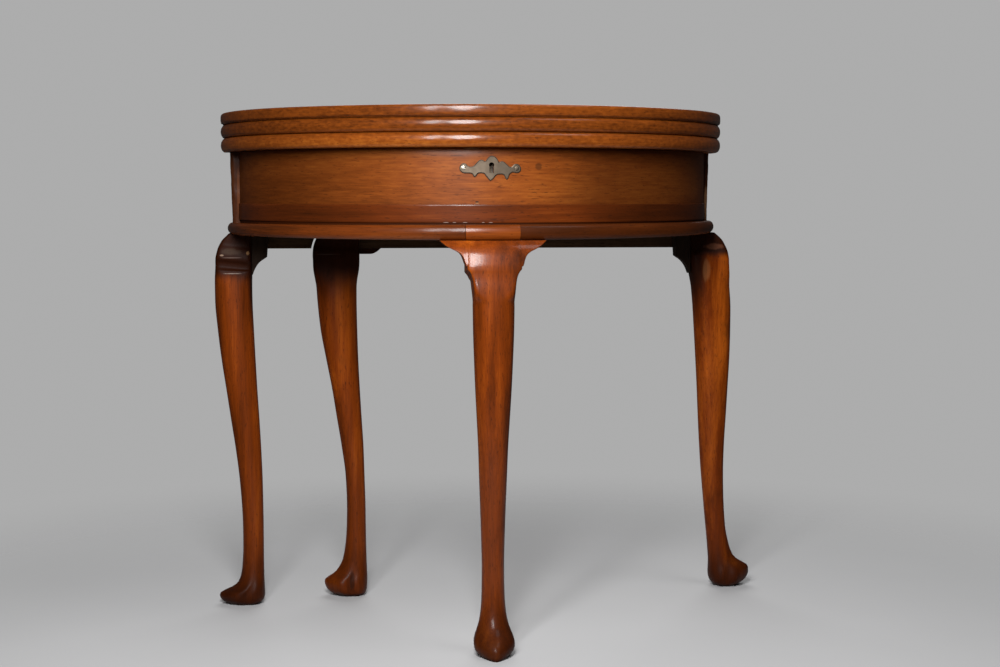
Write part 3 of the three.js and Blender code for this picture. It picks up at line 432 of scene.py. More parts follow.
def wood(name):
    look = {**plainWood, **woods[name]}
    deep, warm, light = look["colours"]
    graph = Graph(bpy.data.materials.new(name))
    place = grainPlace(graph, look["grain"])
    shift = sum(map(ord, name)) % 17  # so that no two woods have the same figure
    rows = dict(figureLayers, **look.get("layers", {}))
    broad, streak, patch = (figureLayer(graph, place, rows[layer], shift)
                            for layer in ("broad", "streak", "patch"))
    fibre, pore, ripple = (figureLayer(graph, place, rows[layer])
                           for layer in ("fibre", "pore", "ripple"))
    if "mottle" in rows:
        mottle = figureLayer(graph, place, rows["mottle"], shift)
        streak = streak * (1 - look["mottled"]) + mottle * look["mottled"]
    tone = broad * (0.62 * look["figure"]) + streak * 0.42 + fibre * 0.22
    tone = tone - (0.12 + 0.31 * (look["figure"] - 1))  # stronger figure, same middle
    colour = graph.ramp(tone, [(0.28, deep), (0.52, warm), (0.8, light)])
    pores = graph.limit(pore, 0.6, 0.72)
    colour = graph.mix(pores * 0.65, colour, deep)
    # bruised patches of wear, then the dark regions laid over them, mostly painted shade
    bruisesAndShade = graph.limit(patch, 0.6, 0.74) * (0.45 * look["wear"])
    for stainAndShade in look.get("dark", []):
        darkening = dirtAndShadeMask(graph, stainAndShade, patch)
        bruisesAndShade = bruisesAndShade + darkening - bruisesAndShade * darkening
    colour = graph.mix(bruisesAndShade, colour, tuple(c * 0.5 for c in deep))
    # marks over all: wear, and some painted highlights and painted shade
    for spot in look.get("marks", []):
        colour = graph.mix(markMask(graph, spot, streak), colour, spot["colour"])
    rough = look["rough"] + patch * 0.16 - 0.06 + pores * 0.12 + bruisesAndShade * 0.15
    height = fibre * 0.35 - pores * 0.5 + streak * 0.3
    return graph.finish({
        "Base Color": colour,
        "Roughness": rough,
        "Normal": graph.bump(height, 0.25, 0.0003, graph.bump(ripple, 0.25, 0.0012)),
        "Coat Weight": (1 - bruisesAndShade) * look["coat"],
        "Coat Roughness": look["gloss"],
        "IOR": 1.45,
        "Specular IOR Level": 0.08,
    })


# metals: clean colour, tarnished colour, roughness, how metallic
metals = {
    "brass": ((0.132, 0.101, 0.073), (0.072, 0.053, 0.036), 0.38, 0.85),
    # for the lock plate's bevel and sides and the screws' slits: painted shade round the outline and in
    # the slits, with grime
    "grime": ((0.06, 0.042, 0.026), (0.025, 0.016, 0.01), 0.55, 0.4),
    "screw": ((0.62, 0.57, 0.48), (0.26, 0.21, 0.15), 0.3, 1.0),
    "iron": ((0.11, 0.1, 0.09), (0.045, 0.03, 0.022), 0.6, 0.75),
}


def metal(name):
    clean, dull, roughness, metallic = metals[name]
    graph = Graph(bpy.data.materials.new(name))
    spots = graph.clouds(graph.place(), 90, 3, 0.5)
    film = graph.clouds(graph.place(), 900, 3, 0.6)
    tarnish = graph.limit(spots + film * 0.3, 0.35, 1.0, smooth=False)
    return graph.finish({
        "Base Color": graph.mix(tarnish, clean, dull),
        "Roughness": roughness + tarnish * 0.2,
        "Metallic": metallic,
        "Normal": graph.bump(film * 0.4 + spots, 0.15, 0.0001),
    })


baizeLook = {
    "deep": (0.01, 0.034, 0.015), "warm": (0.026, 0.078, 0.033), "faded": (0.055, 0.105, 0.046),
    "rough": 0.96, "sheen": 0.1, "shine": 0.15,
}


def baize():
    graph = Graph(bpy.data.materials.new("baize"))
    nap = graph.clouds(graph.place(), 1900, 4, 0.7)
    worn = graph.clouds(graph.place(), 14, 5, 0.6)
    colour = graph.mix(graph.limit(nap, 0.3, 0.7), baizeLook["deep"], baizeLook["warm"])
    colour = graph.mix(graph.limit(worn, 0.5, 0.85) * 0.6, colour, baizeLook["faded"])
    return graph.finish({
        "Base Color": colour,
        "Roughness": baizeLook["rough"],
        "Normal": graph.bump(nap, 0.6, 0.0004),
        "Sheen Weight": baizeLook["sheen"],
        "Sheen Roughness": 0.5,
        "Specular IOR Level": baizeLook["shine"],
    })


stage = {
    "colour": (0.46, 0.46, 0.465), "half": 6.0,
    "sky": 0.52, "ambient": 0.06, "mirrored": 0.05,
    "fadeFrom": 0.45, "fadeTo": 1.35,
}


def paleStage():
    # pale paint that fades into the backdrop away from the table
    graph = Graph(bpy.data.materials.new("stage"))
    paint = graph.clouds(graph.place(), 6, 3, 0.5)
    colour = graph.mix(paint, stage["colour"], tuple(c * 1.04 for c in stage["colour"]))
    x, y, z = graph.split(graph.place())
    far = (x * x + y * y) ** 0.5
    solid = 1 - graph.limit(far, stage["fadeFrom"], stage["fadeTo"])
    return graph.finish({"Base Color": colour, "Roughness": 0.75, "Alpha": solid})


def addStage():
    mesh = bpy.data.meshes.new("floor")
    half = stage["half"]
    corners = [(-half, -half, 0), (half, -half, 0), (half, half, 0), (-half, half, 0)]
    mesh.from_pydata(corners, [], [(0, 1, 2, 3)])
    mesh.materials.append(paleStage())
    placed("floor", mesh)
    graph = Graph(bpy.data.worlds.new("studio"))
    seen = graph.node("ShaderNodeLightPath")
    mirrored = graph.node("ShaderNodeLightPath", output="Is Glossy Ray")
    through = graph.node("ShaderNodeLightPath", output="Is Transmission Ray")
    plain = seen.maths("MAXIMUM", seen, through)
    strength = stage["ambient"] + plain * (stage["sky"] - stage["ambient"])
    strength = strength + mirrored * (stage["mirrored"] - stage["ambient"])
    sky = graph.node("ShaderNodeBackground", inputs={"Strength": strength})
    graph.node("ShaderNodeOutputWorld", inputs={"Surface": sky})
    bpy.context.scene.world = graph.owner
    bpy.context.scene.view_settings.view_transform = "Standard"


finishes = {name: wood(name) for name in woods}
finishes.update({name: metal(name) for name in metals})
finishes["baize"] = baize()
print("materials ready:", len(finishes))


# the leaves' half-round outline, in millimetres
leafPlan = {"halfWidth": 374.5, "depth": 366, "steps": 180}


def bowPoint(inset, turn, z):
    # on the leaves' outline drawn in by inset; turn runs from the left end round the front
    wide, deep = leafPlan["halfWidth"] - inset, leafPlan["depth"] - inset
    return at(-wide * math.cos(turn), -deep * math.sin(turn), z)


def turnsBetween(first, last, steps):
    return [first + (last - first) * i / steps for i in range(steps + 1)]


def turnsRound(count):
    return [2 * math.pi * i / count for i in range(count)]


def skin(rings):
    # points and faces of a solid through rings of points, counter-clockwise when seen from the last
    count = len(rings[0])
    points = [tuple(point) for ring in rings for point in ring]
    faces = []
    for start in range(0, len(points) - count, count):
        for i in range(count):
            a, b = start + i, start + (i + 1) % count
            faces.append((a, b, b + count, a + count))
    faces.append(tuple(reversed(range(count))))
    faces.append(tuple(range(len(points) - count, len(points))))
    return points, faces


def newPiece(name, body, finish, rings):
    # finish is a name, or a list of names for the mesh's material slots
    points, faces = skin(rings)
    mesh = bpy.data.meshes.new(name)
    mesh.from_pydata(points, [], faces)
    for each in [finish] if isinstance(finish, str) else finish:
        mesh.materials.append(finishes[each])
    mesh.validate()
    holder = placed(name, mesh)
    if body:
        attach(holder, body)
    return holder


def faceOutward(holder, triangles=False):
    shape = bmesh.new()
    shape.from_mesh(holder.data)
    bmesh.ops.recalc_face_normals(shape, faces=shape.faces)
    if triangles:
        bmesh.ops.triangulate(shape, faces=[f for f in shape.faces if len(f.verts) > 4])
    shape.to_mesh(holder.data)
    shape.free()


def shadeSmooth(holder, degrees):
    mesh = holder.data
    mesh.polygons.foreach_set("use_smooth", [True] * len(mesh.polygons))
    mesh.set_sharp_from_angle(angle=math.radians(degrees))
    mesh.update()


def settle(holder, degrees, node):
    # smoothed up to that angle, and shown in place of the CAD node
    shadeSmooth(holder, degrees)
    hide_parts(node)


def applied(holder):
    # the mesh as its modifiers leave it, kept in place of the old one
    scene = bpy.context.evaluated_depsgraph_get()
    done = bpy.data.meshes.new_from_object(holder.evaluated_get(scene), depsgraph=scene)
    holder.modifiers.clear()
    holder.data = done
    return holder


def combine(holder, tools, operation):
    for tool in tools:
        step = holder.modifiers.new(operation.lower(), "BOOLEAN")
        step.operation = operation
        step.solver = "EXACT"
        step.object = tool
        applied(holder)
        bpy.data.objects.remove(tool)
    return holder


def tool(rings, finish):
    # a solid that is only cut away from a piece, or joined to it
    return newPiece("tool", None, finish, rings)


def box(low, high, finish="legs"):
    (x0, y0, z0), (x1, y1, z1) = low, high
    rings = [[at(x0, y0, z), at(x1, y0, z), at(x1, y1, z), at(x0, y1, z)] for z in (z0, z1)]
    return tool(rings, finish)


def slopeAt(rows, column, i):
    if i <= 0 or i >= len(rows) - 1:
        return 0.0
    before = (rows[i][column] - rows[i - 1][column]) / (rows[i][0] - rows[i - 1][0])
    after = (rows[i + 1][column] - rows[i][column]) / (rows[i + 1][0] - rows[i][0])
    return 0.0 if before * after <= 0 else 2 * before * after / (before + after)


def between(rows, z):
    # smooth curve through rows of (z, value, ...), without overshoot
    if z <= rows[0][0]:
        return list(rows[0][1:])
    if z >= rows[-1][0]:
        return list(rows[-1][1:])
    k = max(i for i in range(len(rows) - 1) if rows[i][0] <= z)
    step = rows[k + 1][0] - rows[k][0]
    t = (z - rows[k][0]) / step
    values = []
    for column in range(1, len(rows[0])):
        p, q = rows[k][column], rows[k + 1][column]
        m, n = slopeAt(rows, column, k) * step, slopeAt(rows, column, k + 1) * step
        ends = (2 * t**3 - 3 * t**2 + 1) * p + (3 * t**2 - 2 * t**3) * q
        values.append(ends + (t**3 - 2 * t**2 + t) * m + (t**3 - t**2) * n)
    return values


# cabriole legs: u is out from the head's face, v is to the side, z is up from the floor
legPlan = {
    "steps": 72,
    "leanZ": 511,
    "shankTop": 518,
    "headFoot": 512,
    "headTop": 554.3,
    "headHalf": 23.5,
    "headInner": -33,
    "footTop": 62,
    "footForward": 0.1,
    "shankRows": [
        0, 0.8, 2, 3.6, 5.5, 7.5, 10, 13, 16.5, 20, 24, 28, 32, 37, 42, 48, 55, 63, 72, 82,
        *range(94, 470, 12),
    ],
    "kneeRows": [*range(472, 500, 4), *(499 + 1.5 * i for i in range(29))],
    "headRows": [543.5, 546, 548.5, 550.5],
    # height, half breadth, squareness towards the toe, squareness towards the heel
    "breadth": [
        (0, 17, 1.6, 2.1), (2, 20.5, 1.6, 2.1), (5, 24, 1.6, 2.2), (9, 26.8, 1.65, 2.25),
        (14, 28.2, 1.65, 2.25), (19, 28.2, 1.65, 2.25), (25, 26.6, 1.7, 2.3), (31, 24, 1.75, 2.3),
        (38, 21.2, 1.8, 2.2),
        (46, 18.9, 1.9, 2.1), (58, 17, 1.95, 2.1), (75, 15.7, 2, 2.1),
        (116, 15, 2.05, 2.05), (156, 15.9, 2.1, 2.1), (196, 17.1, 2.1, 2.1), (236, 18.6, 2.15, 2.15),
        (276, 19.9, 2.2, 2.2), (316, 22, 2.3, 2.3), (356, 24.1, 2.4, 2.4), (395, 25.7, 2.5, 2.5),
        (435, 27, 2.6, 2.7), (475, 27.5, 2.8, 3), (500, 28, 3, 3.3), (518, 27.6, 3.2, 3.6),
    ],
    # the shank: height, toe side, heel side
    "shank": [
        (93, -15.4, -46.1), (115, -15.3, -46.1), (138, -14.6, -45.9), (184, -11.5, -45.3),
        (230, -6.3, -43.7), (275, 0.2, -41.5), (321, 6.7, -38.8), (366, 13.2, -36.6),
        (411, 18.3, -34.6), (455, 21.8, -32.9), (490, 22, -32.6), (518, 19.4, -33),
    ],
    # the head over the shank: height, face
    "face": [
        (512, 20.2), (518.6, 19.7), (527, 17.9), (533.6, 15.9), (540, 12.8), (545, 9.6), (549, 5.6),
        (552, 2.4), (554.3, 0.2),
    ],
}
kneeForm = {"from": 470, "to": 516, "tilt": 0.11, "tiltFrom": 498, "tiltTo": 545, "tiltFade": 8}

# each leg: a pad foot worn its own way, and half breadths of the knee towards the camera by height
# the side knees have lost their glued ears there: a recess, a rounded ledge and a hollow under it
legs = {
    "left_leg": {
        "origin": (-362.4, -33), "turn": 180, "lean": (0, 12), "body": "frame", "finish": "leftLeg",
        "viewSide": 1, "crease": 0.12, "square": 8,
        "foot": [
            (0, 7, -37), (2, 11.5, -41), (4, 15, -43.5), (7, 18, -45.5), (10, 19.8, -46.6),
            (14, 20.4, -47.2), (17, 18.8, -47.2), (20, 13.2, -47), (22, 8.4, -46.9),
            (25, 1.5, -46.7), (31, -6.2, -46.5), (40, -10.7, -46.3), (53, -13.3, -46.2),
            (68, -14.6, -46),
        ],
        "knee": [
            (480, 27.4), (496, 27.2), (501, 26.2), (504.5, 23.6), (508, 22.4), (512.5, 22.6),
            (515, 23.6), (517, 25.4), (520, 26.2), (526, 25.6), (532, 24), (536, 22.2),
            (538.5, 20.8), (542, 20.3), (554.3, 20.3),
        ],
    },
    "right_leg": {
        "origin": (362.4, -33), "turn": 0, "lean": (61, 40), "body": "frame", "finish": "rightLeg",
        "viewSide": -1, "crease": 0.14, "square": 8,
        "foot": [
            (0, -6, -39), (2, -2, -42), (5, 4, -45), (8, 8.2, -46.6), (12, 11.8, -48),
            (17, 14.6, -48.2), (22, 16.2, -48), (29, 16.2, -47.2), (33, 13.6, -46.8),
            (35.5, 9.8, -46.6), (38.5, 3.4, -46.2), (46.5, -5.6, -45.8), (58.5, -10, -45.6),
            (70.5, -12.2, -45.4),
        ],
        "shank": [(z, toe + 2.8 * min(1, z / 300), heel + 0.8) for z, toe, heel in legPlan["shank"]],
        "face": [
            (512, 25.4), (520, 24.4), (529, 22.3), (536, 19.2), (541.8, 16), (547, 11.5), (552.3, 5.5),
            (554.3, 3),
        ],
        "knee": [
            (480, 27.4), (500, 27), (515, 26.4), (522, 25.8), (526, 25), (529, 23.4), (532, 22.2),
            (538, 21.4), (546, 20.8), (554.3, 20.3),
        ],
    },
    "front_leg": {
        "origin": (1, -364), "turn": -90, "lean": (22, 0), "body": "frame", "finish": "legs",
        "viewSide": 0, "crease": 0.05, "square": 30, "headInner": -40, "headTop": 551.9,
        "foot": [
            (0, 19, -38), (3, 20, -42), (8, 20.2, -45.5), (13, 19.6, -46.5), (18, 16.6, -46.8),
            (23, 11.5, -46.6), (30, 2.5, -46.2), (40, -6.5, -46), (53, -12, -46), (68, -14.4, -46),
        ],
        "knee": [
            (478, 27.2), (495, 28.2), (502, 29.2), (508, 30.9), (512, 33.2), (516, 36), (554.3, 36),
        ],
    },
    "gate_leg": {
        "origin": (-213, -4.3), "turn": 180, "lean": (0, 0), "body": "gate", "finish": "gateLeg",
        "viewSide": 1, "crease": 0.19, "square": 9, "headInner": -43,
        "stile": ((-209, -6, 515), (-170.3, 14.9, 657.5)),
        "foot": [
            (0, -4, -46), (3, 2, -48.6), (6, 6.4, -50), (10, 9.8, -51), (15, 12.3, -51.6),
            (21, 13.6, -51.8), (25, 12.8, -51.8), (27.5, 9.2, -51.8), (30, 4.6, -51.8),
            (35, -2.6, -51.6), (41, -7.4, -51.4), (53, -13.8, -51), (68, -17.2, -50.6),
            (90, -19.9, -50.2),
        ],
        "shank": [
            (112, -21, -50), (136, -21.5, -49.8), (182, -19.9, -48.6), (228, -14.3, -47.3),
            (273, -7.2, -44.7), (319, -0.1, -42.2), (364, 8.4, -40.2), (409, 16.4, -39),
            (450, 20.6, -38.4), (484, 23, -38.6), (505, 26, -40.8), (518, 27.6, -42.6),
        ],
        "face": [
            (512, 26.8), (520, 27.2), (530, 26.6), (536, 25.4), (541, 23.8), (546, 21.4), (550, 19.2),
            (554.3, 16.8),
        ],
        "knee": [
            (480, 27), (496, 26.4), (508, 25.6), (520, 25.4), (526, 25.1), (530, 24.2), (534, 23.2),
            (554.3, 23),
        ],
    },
}
legs = {name: {**legPlan, **leg} for name, leg in legs.items()}


def legPlace(leg):
    # from a leg's own u, v and height to a place in the frame
    spin = Matrix.Rotation(math.radians(leg["turn"]), 2)
    x0, y0 = leg["origin"]

    def place(u, v, z):
        lean = max(0, 1 - z / leg["leanZ"])
        flat = spin @ Vector((u + leg["lean"][0] * lean, v + leg["lean"][1] * lean))
        return at(x0 + flat.x, y0 + flat.y, z)
    return place


def squared(value, power):
    # a cosine or sine bent towards a square: 2 leaves it round
    return math.copysign(abs(value) ** (2 / power), value)


# the foot's carved crease, in degrees round from the toe and millimetres up
padCrease = {"hollow": 93, "ridge": 66, "width": 13, "ridgeShare": 0.45, "z": 16, "tall": 17}


def swell(value, middle, width):
    return math.exp(-((value - middle) / width) ** 2)


def creaseDepth(leg, c, s, z):
    # a hollow down each flank of the foot, with a soft ridge before it
    pad = padCrease
    flank = math.degrees(abs(math.atan2(s, c)))
    hollow = swell(flank, pad["hollow"], pad["width"])
    hollow -= pad["ridgeShare"] * swell(flank, pad["ridge"], pad["width"])
    return 1 - leg["crease"] * hollow * swell(z, pad["z"], pad["tall"])


def legSection(leg, z):
    # toe side, heel side, half breadth, and squareness towards each
    z = min(z, leg["shankTop"])
    return *between(leg["foot"] + leg["shank"], z), *between(leg["breadth"], z)


def roundLeg(leg, outer, middle, inner, front, back):
    # steps round a section: cosine, sine, distance out from the middle, share of the breadth
    for turn in turnsRound(leg["steps"]):
        c, s = math.cos(turn), math.sin(turn)
        power, reach = (front, outer - middle) if c >= 0 else (back, middle - inner)
        yield c, s, reach * squared(c, power), squared(s, power)


def shankRing(leg, z):
    place = legPlace(leg)
    outer, inner, half, front, back = legSection(leg, z)
    foot = max(0, 1 - z / leg["footTop"])
    middle = inner + (outer - inner) * (0.5 - leg["footForward"] * foot)
    ring = []
    for c, s, out, side in roundLeg(leg, outer, middle, inner, front, back):
        depth = creaseDepth(leg, c, s, z)
        ring.append(place(middle + out * depth, half * side * depth, z))
    return ring


def kneeRing(name, z):
    # the round shank turns into the squared head
    leg = legs[name]
    form = kneeForm
    place = legPlace(leg)
    outer, inner, half, front, back = legSection(leg, z)
    share = min(1, max(0, (z - form["from"]) / (form["to"] - form["from"])))
    share = share * share * (3 - 2 * share)
    face = between(leg["face"], max(z, leg["headFoot"]))[0]
    outer += (face - outer) * share
    inner += (leg["headInner"] - inner) * share
    near = between(leg["knee"], z)[0]
    far = near if name == "front_leg" else half + (leg["headHalf"] - half) * share
    front += (leg["square"] - front) * share
    back += (leg["square"] - back) * share
    middle = (outer + inner) / 2
    ring = []
    for c, s, out, side in roundLeg(leg, outer, middle, inner, front, back):
        seen = s * leg["viewSide"] >= 0
        u = middle + out
        v = (near if seen else far) * side
        drop = 0
        if name == "front_leg" and c > 0:
            u -= ears["fall"] * v * v * share
        elif name != "gate_leg" and seen:
            inside = min(z - form["tiltFrom"], form["tiltTo"] - z)
            drop = form["tilt"] * (outer - u) * abs(s) * min(1, max(0, inside / form["tiltFade"]))
        ring.append(place(u, v, z - drop))
    return ring


def makeLeg(name):
    leg = legs[name]
    rings = [shankRing(leg, z) for z in leg["shankRows"]]
    rings += [kneeRing(name, z) for z in leg["kneeRows"] + leg["headRows"] + [leg["headTop"]]]
    return newPiece(name + "_carved", leg["body"], [leg["finish"], "posts"], rings)


def overKnee(name):
    # what is cut from one piece with the leg
    if name == "front_leg":
        return frontStile()
    if name == "gate_leg":
        return box(*legs[name]["stile"])
    return cornerPost(name)


def makeLegs():
    for name in legs:
        holder = makeLeg(name)
        combine(holder, [overKnee(name)], "UNION")
        settle(holder, 40, name)


# the rail beyond the gate leg: its end is cut to let the knee swing past
stubRail = {"heights": (530.6, 535, 539, 542, 545, 548, 551, 554.3, 657.5), "swing": 2.8}


def makeStubRail():
    low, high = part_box("stub_rail")
    knee = legs["gate_leg"]
    rings = []
    for z in stubRail["heights"]:
        reach = at(knee["origin"][0] - between(knee["face"], z)[0] - stubRail["swing"], 0, z).x
        corners = [(low[0], low[1]), (reach, low[1]), (reach, high[1]), (low[0], high[1])]
        rings.append([Vector((x, y, z / 1000)) for x, y in corners])
    holder = newPiece("stub_rail_board", "frame", "rails", rings)
    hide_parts("stub_rail")


# posts over the side legs, with chipped and rubbed corners
posts = {
    "left_leg": {"outer": 358.6, "taper": 3.4, "front": -62, "corner": 6},
    "right_leg": {"outer": 357, "taper": 2.6, "front": -44, "corner": 5},
    "inner": 329.4, "back": -0.3, "foot": 553, "top": 673.5,
    # chips: depth, length up the corner, how they change across it and from post to post
    "chips": [(0.9, 15, 0.5, 3), (0.3, 4, 1, 1)], "proudest": 0.25,
}


def cornerPost(name):
    post = posts[name]
    side = math.copysign(1, legs[name]["origin"][0])
    rings = []
    for z in turnsBetween(posts["foot"], posts["top"], 40):
        share = max(0, z - legPlan["headTop"]) / (posts["top"] - legPlan["headTop"])
        outer = post["outer"] - post["taper"] * (1 - share)
        r = post["corner"]
        ring = [(posts["inner"], posts["back"]), (posts["inner"], post["front"])]
        for k in range(7):
            turn = math.radians(90 * k / 6)
            chip = sum(deep * noise.noise(Vector((z / long, k * across, side * apart)))
                       for deep, long, across, apart in posts["chips"])
            reach = r + min(posts["proudest"], chip)
            x, y = reach * math.sin(turn), -reach * math.cos(turn)
            ring.append((outer - r + x, post["front"] + r + y))
        ring.append((outer, posts["back"]))
        level = [at(side * x, y, z) for x, y in ring]
        rings.append(level if side > 0 else list(reversed(level)))
    return tool(rings, "posts")


# the front leg's stile inside the frieze: its face follows the bow
stile = {
    "left": -35, "right": 37, "back": -294, "foot": 546, "top": 612,
    "bow": (332.2, 323.4), "steps": 12,
}


def frontStile():
    wide, deep = stile["bow"]
    step = (stile["right"] - stile["left"]) / stile["steps"]
    bowed = [stile["left"] + step * k for k in range(stile["steps"] + 1)]
    outline = [(x, -deep * math.sqrt(1 - (x / wide) ** 2)) for x in bowed]
    outline = [(stile["left"], stile["back"]), *outline, (stile["right"], stile["back"])]
    rings = [[at(x, y, z) for x, y in outline] for z in (stile["foot"], stile["top"])]
    return tool(rings, "legs")


def noseRows(thick, nose):
    # half-round edge: inset and height
    turns = [math.pi * (i / 16 - 0.5) for i in range(17)]
    return [(nose * (1 - math.cos(turn)), thick / 2 * (1 + math.sin(turn))) for turn in turns]


# leaves: edge sections as inset and height over the leaf's underside
leaves = {
    "lower_leaf": {"z": 673.9, "edge": noseRows(19.8, 6)},
    "middle_leaf": {"z": 694.1, "edge": noseRows(19.4, 6)},
    "top_leaf": {"z": 713.9, "edge": [
        (3, 0), (2.6, 1), (1.4, 1.4), (0.6, 2), (0.2, 3), (0.03, 5), (0, 7), (0.03, 10),
        (0.2, 12), (0.6, 13.6), (1.3, 14.8), (2.4, 15.7), (3.8, 16),
    ]},
}


def edgeFinish(holder):
    # the moulded edge's figure follows the bow
    for face in holder.data.polygons:
        x, y, z = face.center
        wide, deep = (x - tableX) * 1000 / leafPlan["halfWidth"], (y - backY) * 1000 / leafPlan["depth"]
        away = wide * wide + deep * deep
        flat = abs(face.normal.z) >= 0.98
        straightBack = abs(face.normal.y) >= 0.9999
        if away > 0.93 and not flat and not straightBack:
            face.material_index = 1


def slabRings(rows, z, steps):
    turns = turnsBetween(0, math.pi, steps)
    return [[bowPoint(inset, turn, z + height) for turn in turns] for inset, height in rows]


def panelRings(inset, back, z0, z1, steps=150):
    # the leaves' outline drawn in by inset, and cut off straight along back
    edge = (leafPlan["halfWidth"] - inset) * math.sqrt(1 - (back / (leafPlan["depth"] - inset)) ** 2)
    rings = []
    for z in (z0, z1):
        ring = [bowPoint(inset, turn, z) for turn in turnsBetween(0, math.pi, steps)]
        ring = [p for p in ring if p.y < at(0, back, 0).y]
        rings.append([at(-edge, back, z), *ring, at(edge, back, z)])
    return rings


def rod(x0, x1, z, radius):
    # round cutter along the leaves' back edge
    circle = [(radius * math.cos(turn), z + radius * math.sin(turn)) for turn in turnsRound(20)]
    rings = [[at(x, y, z) for y, z in circle] for x in (x0, x1)]
    return tool(rings, "leaves")


# the room cut into the leaves: for the hinges, the lock's strike, and the cloths
hinges = {
    "endX": 363.4, "endOut": 380, "endDeep": 8.9, "endPast": 2, "endLong": 45.3,
    "eyes": (363.4, 368.3), "eyeZ": 674.1, "eyeRadius": 4,
    "buttX": 190, "buttHalf": 25.3, "buttBack": -21.8, "buttTop": 675.7, "buttRadius": 3.8,
    "slitRadius": 4.1, "lidZ": 673.7, "lowZ": 693.9, "highZ": 713.7, "under": 672, "behind": 3,
}
strikeRoom = [
    ((-16.3, -329.8, 672), (16.3, -314.2, 675.5)),
    ((-9.6, -325.9, 672), (9.6, -318.1, 683.3)),
]
clothRoom = {
    "inset": 29.7, "back": -13.7, "lower_leaf": (692.5, 696), "middle_leaf": (692, 695.3),
}


def endRecess(side, axisZ, up):
    h = hinges
    low, high = (h["endPast"], h["endDeep"]) if up else (h["endDeep"], h["endPast"])
    x0, x1 = sorted((side * h["endX"], side * h["endOut"]))
    return box((x0, -h["endLong"], axisZ - low), (x1, h["behind"], axisZ + high), "leaves")


def leafTools(name):
    h = hinges
    tools = []
    for side in (-1, 1):
        x0, x1 = side * h["buttX"] - h["buttHalf"], side * h["buttX"] + h["buttHalf"]
        if name == "lower_leaf":
            tools += [
                endRecess(side, h["lowZ"], False),
                rod(*sorted(side * x for x in h["eyes"]), h["eyeZ"], h["eyeRadius"]),
                box((x0, h["buttBack"], h["under"]), (x1, h["behind"], h["buttTop"]), "leaves"),
                rod(x0, x1, h["lidZ"], h["buttRadius"]),
            ]
        if name == "middle_leaf":
            tools += [endRecess(side, h["lowZ"], True), endRecess(side, h["highZ"], False)]
        if name == "top_leaf":
            tools.append(endRecess(side, h["highZ"], True))
        if name != "lower_leaf":
            tools.append(rod(x0, x1, h["highZ"], h["slitRadius"]))
    if name == "lower_leaf":
        tools += [box(low, high, "leaves") for low, high in strikeRoom]
    if name in clothRoom:
        room = panelRings(clothRoom["inset"], clothRoom["back"], *clothRoom[name])
        tools.append(tool(room, "leaves"))
    return tools


def makeLeaf(name):
    rings = slabRings(leaves[name]["edge"], leaves[name]["z"], leafPlan["steps"])
    holder = newPiece(name + "_board", name, ["leaves", "leafEdge"], rings)
    combine(holder, leafTools(name), "DIFFERENCE")
    edgeFinish(holder)
    settle(holder, 32, name)


# baize panels, glued down: what they cover, and how thick they are
baizes = {
    "lower_baize": {"z": 692.8, "body": "lower_leaf", "on": "lower_leaf_board"},
    "middle_baize": {"z": 694.1, "body": "middle_leaf", "on": "middle_leaf_board"},
}
baizePlan = {"inset": 30, "back": -14, "thick": 0.9, "steps": 140}


def makeBaize(name):
    cloth, plan = baizes[name], baizePlan
    low, high = cloth["z"], cloth["z"] + plan["thick"]
    rings = panelRings(plan["inset"], plan["back"], low, high, plan["steps"])
    holder = newPiece(name + "_cloth", cloth["body"], "baize", rings)
    settle(holder, 30, name)
    wide = (leafPlan["halfWidth"] - plan["inset"]) / 1000
    deep = (leafPlan["depth"] - plan["inset"]) / 1000
    back = plan["back"] / 1000
    area = math.pi / 2 * wide * deep + 2 * wide * back


# frieze: a bowed wall, its veneered band and the bead under it
frieze = {
    "overhang": 24, "thick": 18, "z0": 556, "z1": 673.5,
    "leftEnd": 62.3, "rightEnd": 44.3, "steps": 200,
    "lockRows": (660, 656, 638, 634),  # mesh rows that keep the wall even beside the keyhole
    "lockRoom": [
        ((-33.3, -331.3, 671.6), (33.3, -300, 676)),
        ((-30.3, -328.3, 629.7), (30.3, -300, 676)),
    ],
}
band = {"proud": 1.5, "gap": 0.3, "z0": 575, "z1": 598.9}
bead = {
    "proud": 15.5, "nose": 7, "z0": 554.6, "high": 19.6, "centreProud": 1.4, "left": -35, "right": 37,
    "postRoom": ((329, -44.4, 550), (358.7, 3, 580)),
}


def sweep(rows, turns):
    # a closed section of (inset, z) led round the bow
    return [[bowPoint(inset, turn, z) for inset, z in rows] for turn in turns]


def turnAtX(inset, x):
    return math.acos(max(-1, min(1, -x / (leafPlan["halfWidth"] - inset))))


def makeFrieze():
    out, back = frieze["overhang"], frieze["overhang"] + frieze["thick"]
    start = math.asin(frieze["leftEnd"] / (leafPlan["depth"] - out))
    end = math.pi - math.asin(frieze["rightEnd"] / (leafPlan["depth"] - out))
    turns = turnsBetween(start, end, frieze["steps"])
    z0, z1 = frieze["z0"], frieze["z1"]
    rows = [
        (back, z0), (back, z1), (out + 0.7, z1), (out + 0.2, z1 - 0.3), (out, z1 - 0.9),
        *((out, z) for z in frieze["lockRows"]), (out, z0),
    ]
    holder = newPiece("frieze_wall", "frame", "frieze", sweep(rows, turns))
    rooms = [box(low, high, "frieze") for low, high in frieze["lockRoom"]]
    combine(holder, [keyCutter(*key["wall"], "frieze"), *rooms], "DIFFERENCE")
    settle(holder, 30, "bow_frieze")

    inner = out - band["gap"]
    proud = inner - band["proud"]
    z0, z1 = band["z0"], band["z1"]
    rows = [
        (inner, z0), (inner, z1), (proud + 0.9, z1), (proud + 0.25, z1 - 0.3), (proud, z1 - 1),
        (proud, z1 - 2), (proud, z0 + 2), (proud, z0 + 1), (proud + 0.4, z0),
    ]
    holder = newPiece("frieze_band_strip", "frame", "band", sweep(rows, turns))
    settle(holder, 30, "frieze_band")


# how far the bead's top and bottom have sunk or worn, by share of the way round from the left
beadWear = [(0, -4.2, -1), (0.25, -3, -1.8), (0.5, -1.6, -2.4), (0.75, -1.4, -1.2), (1, -1.8, 1.2)]


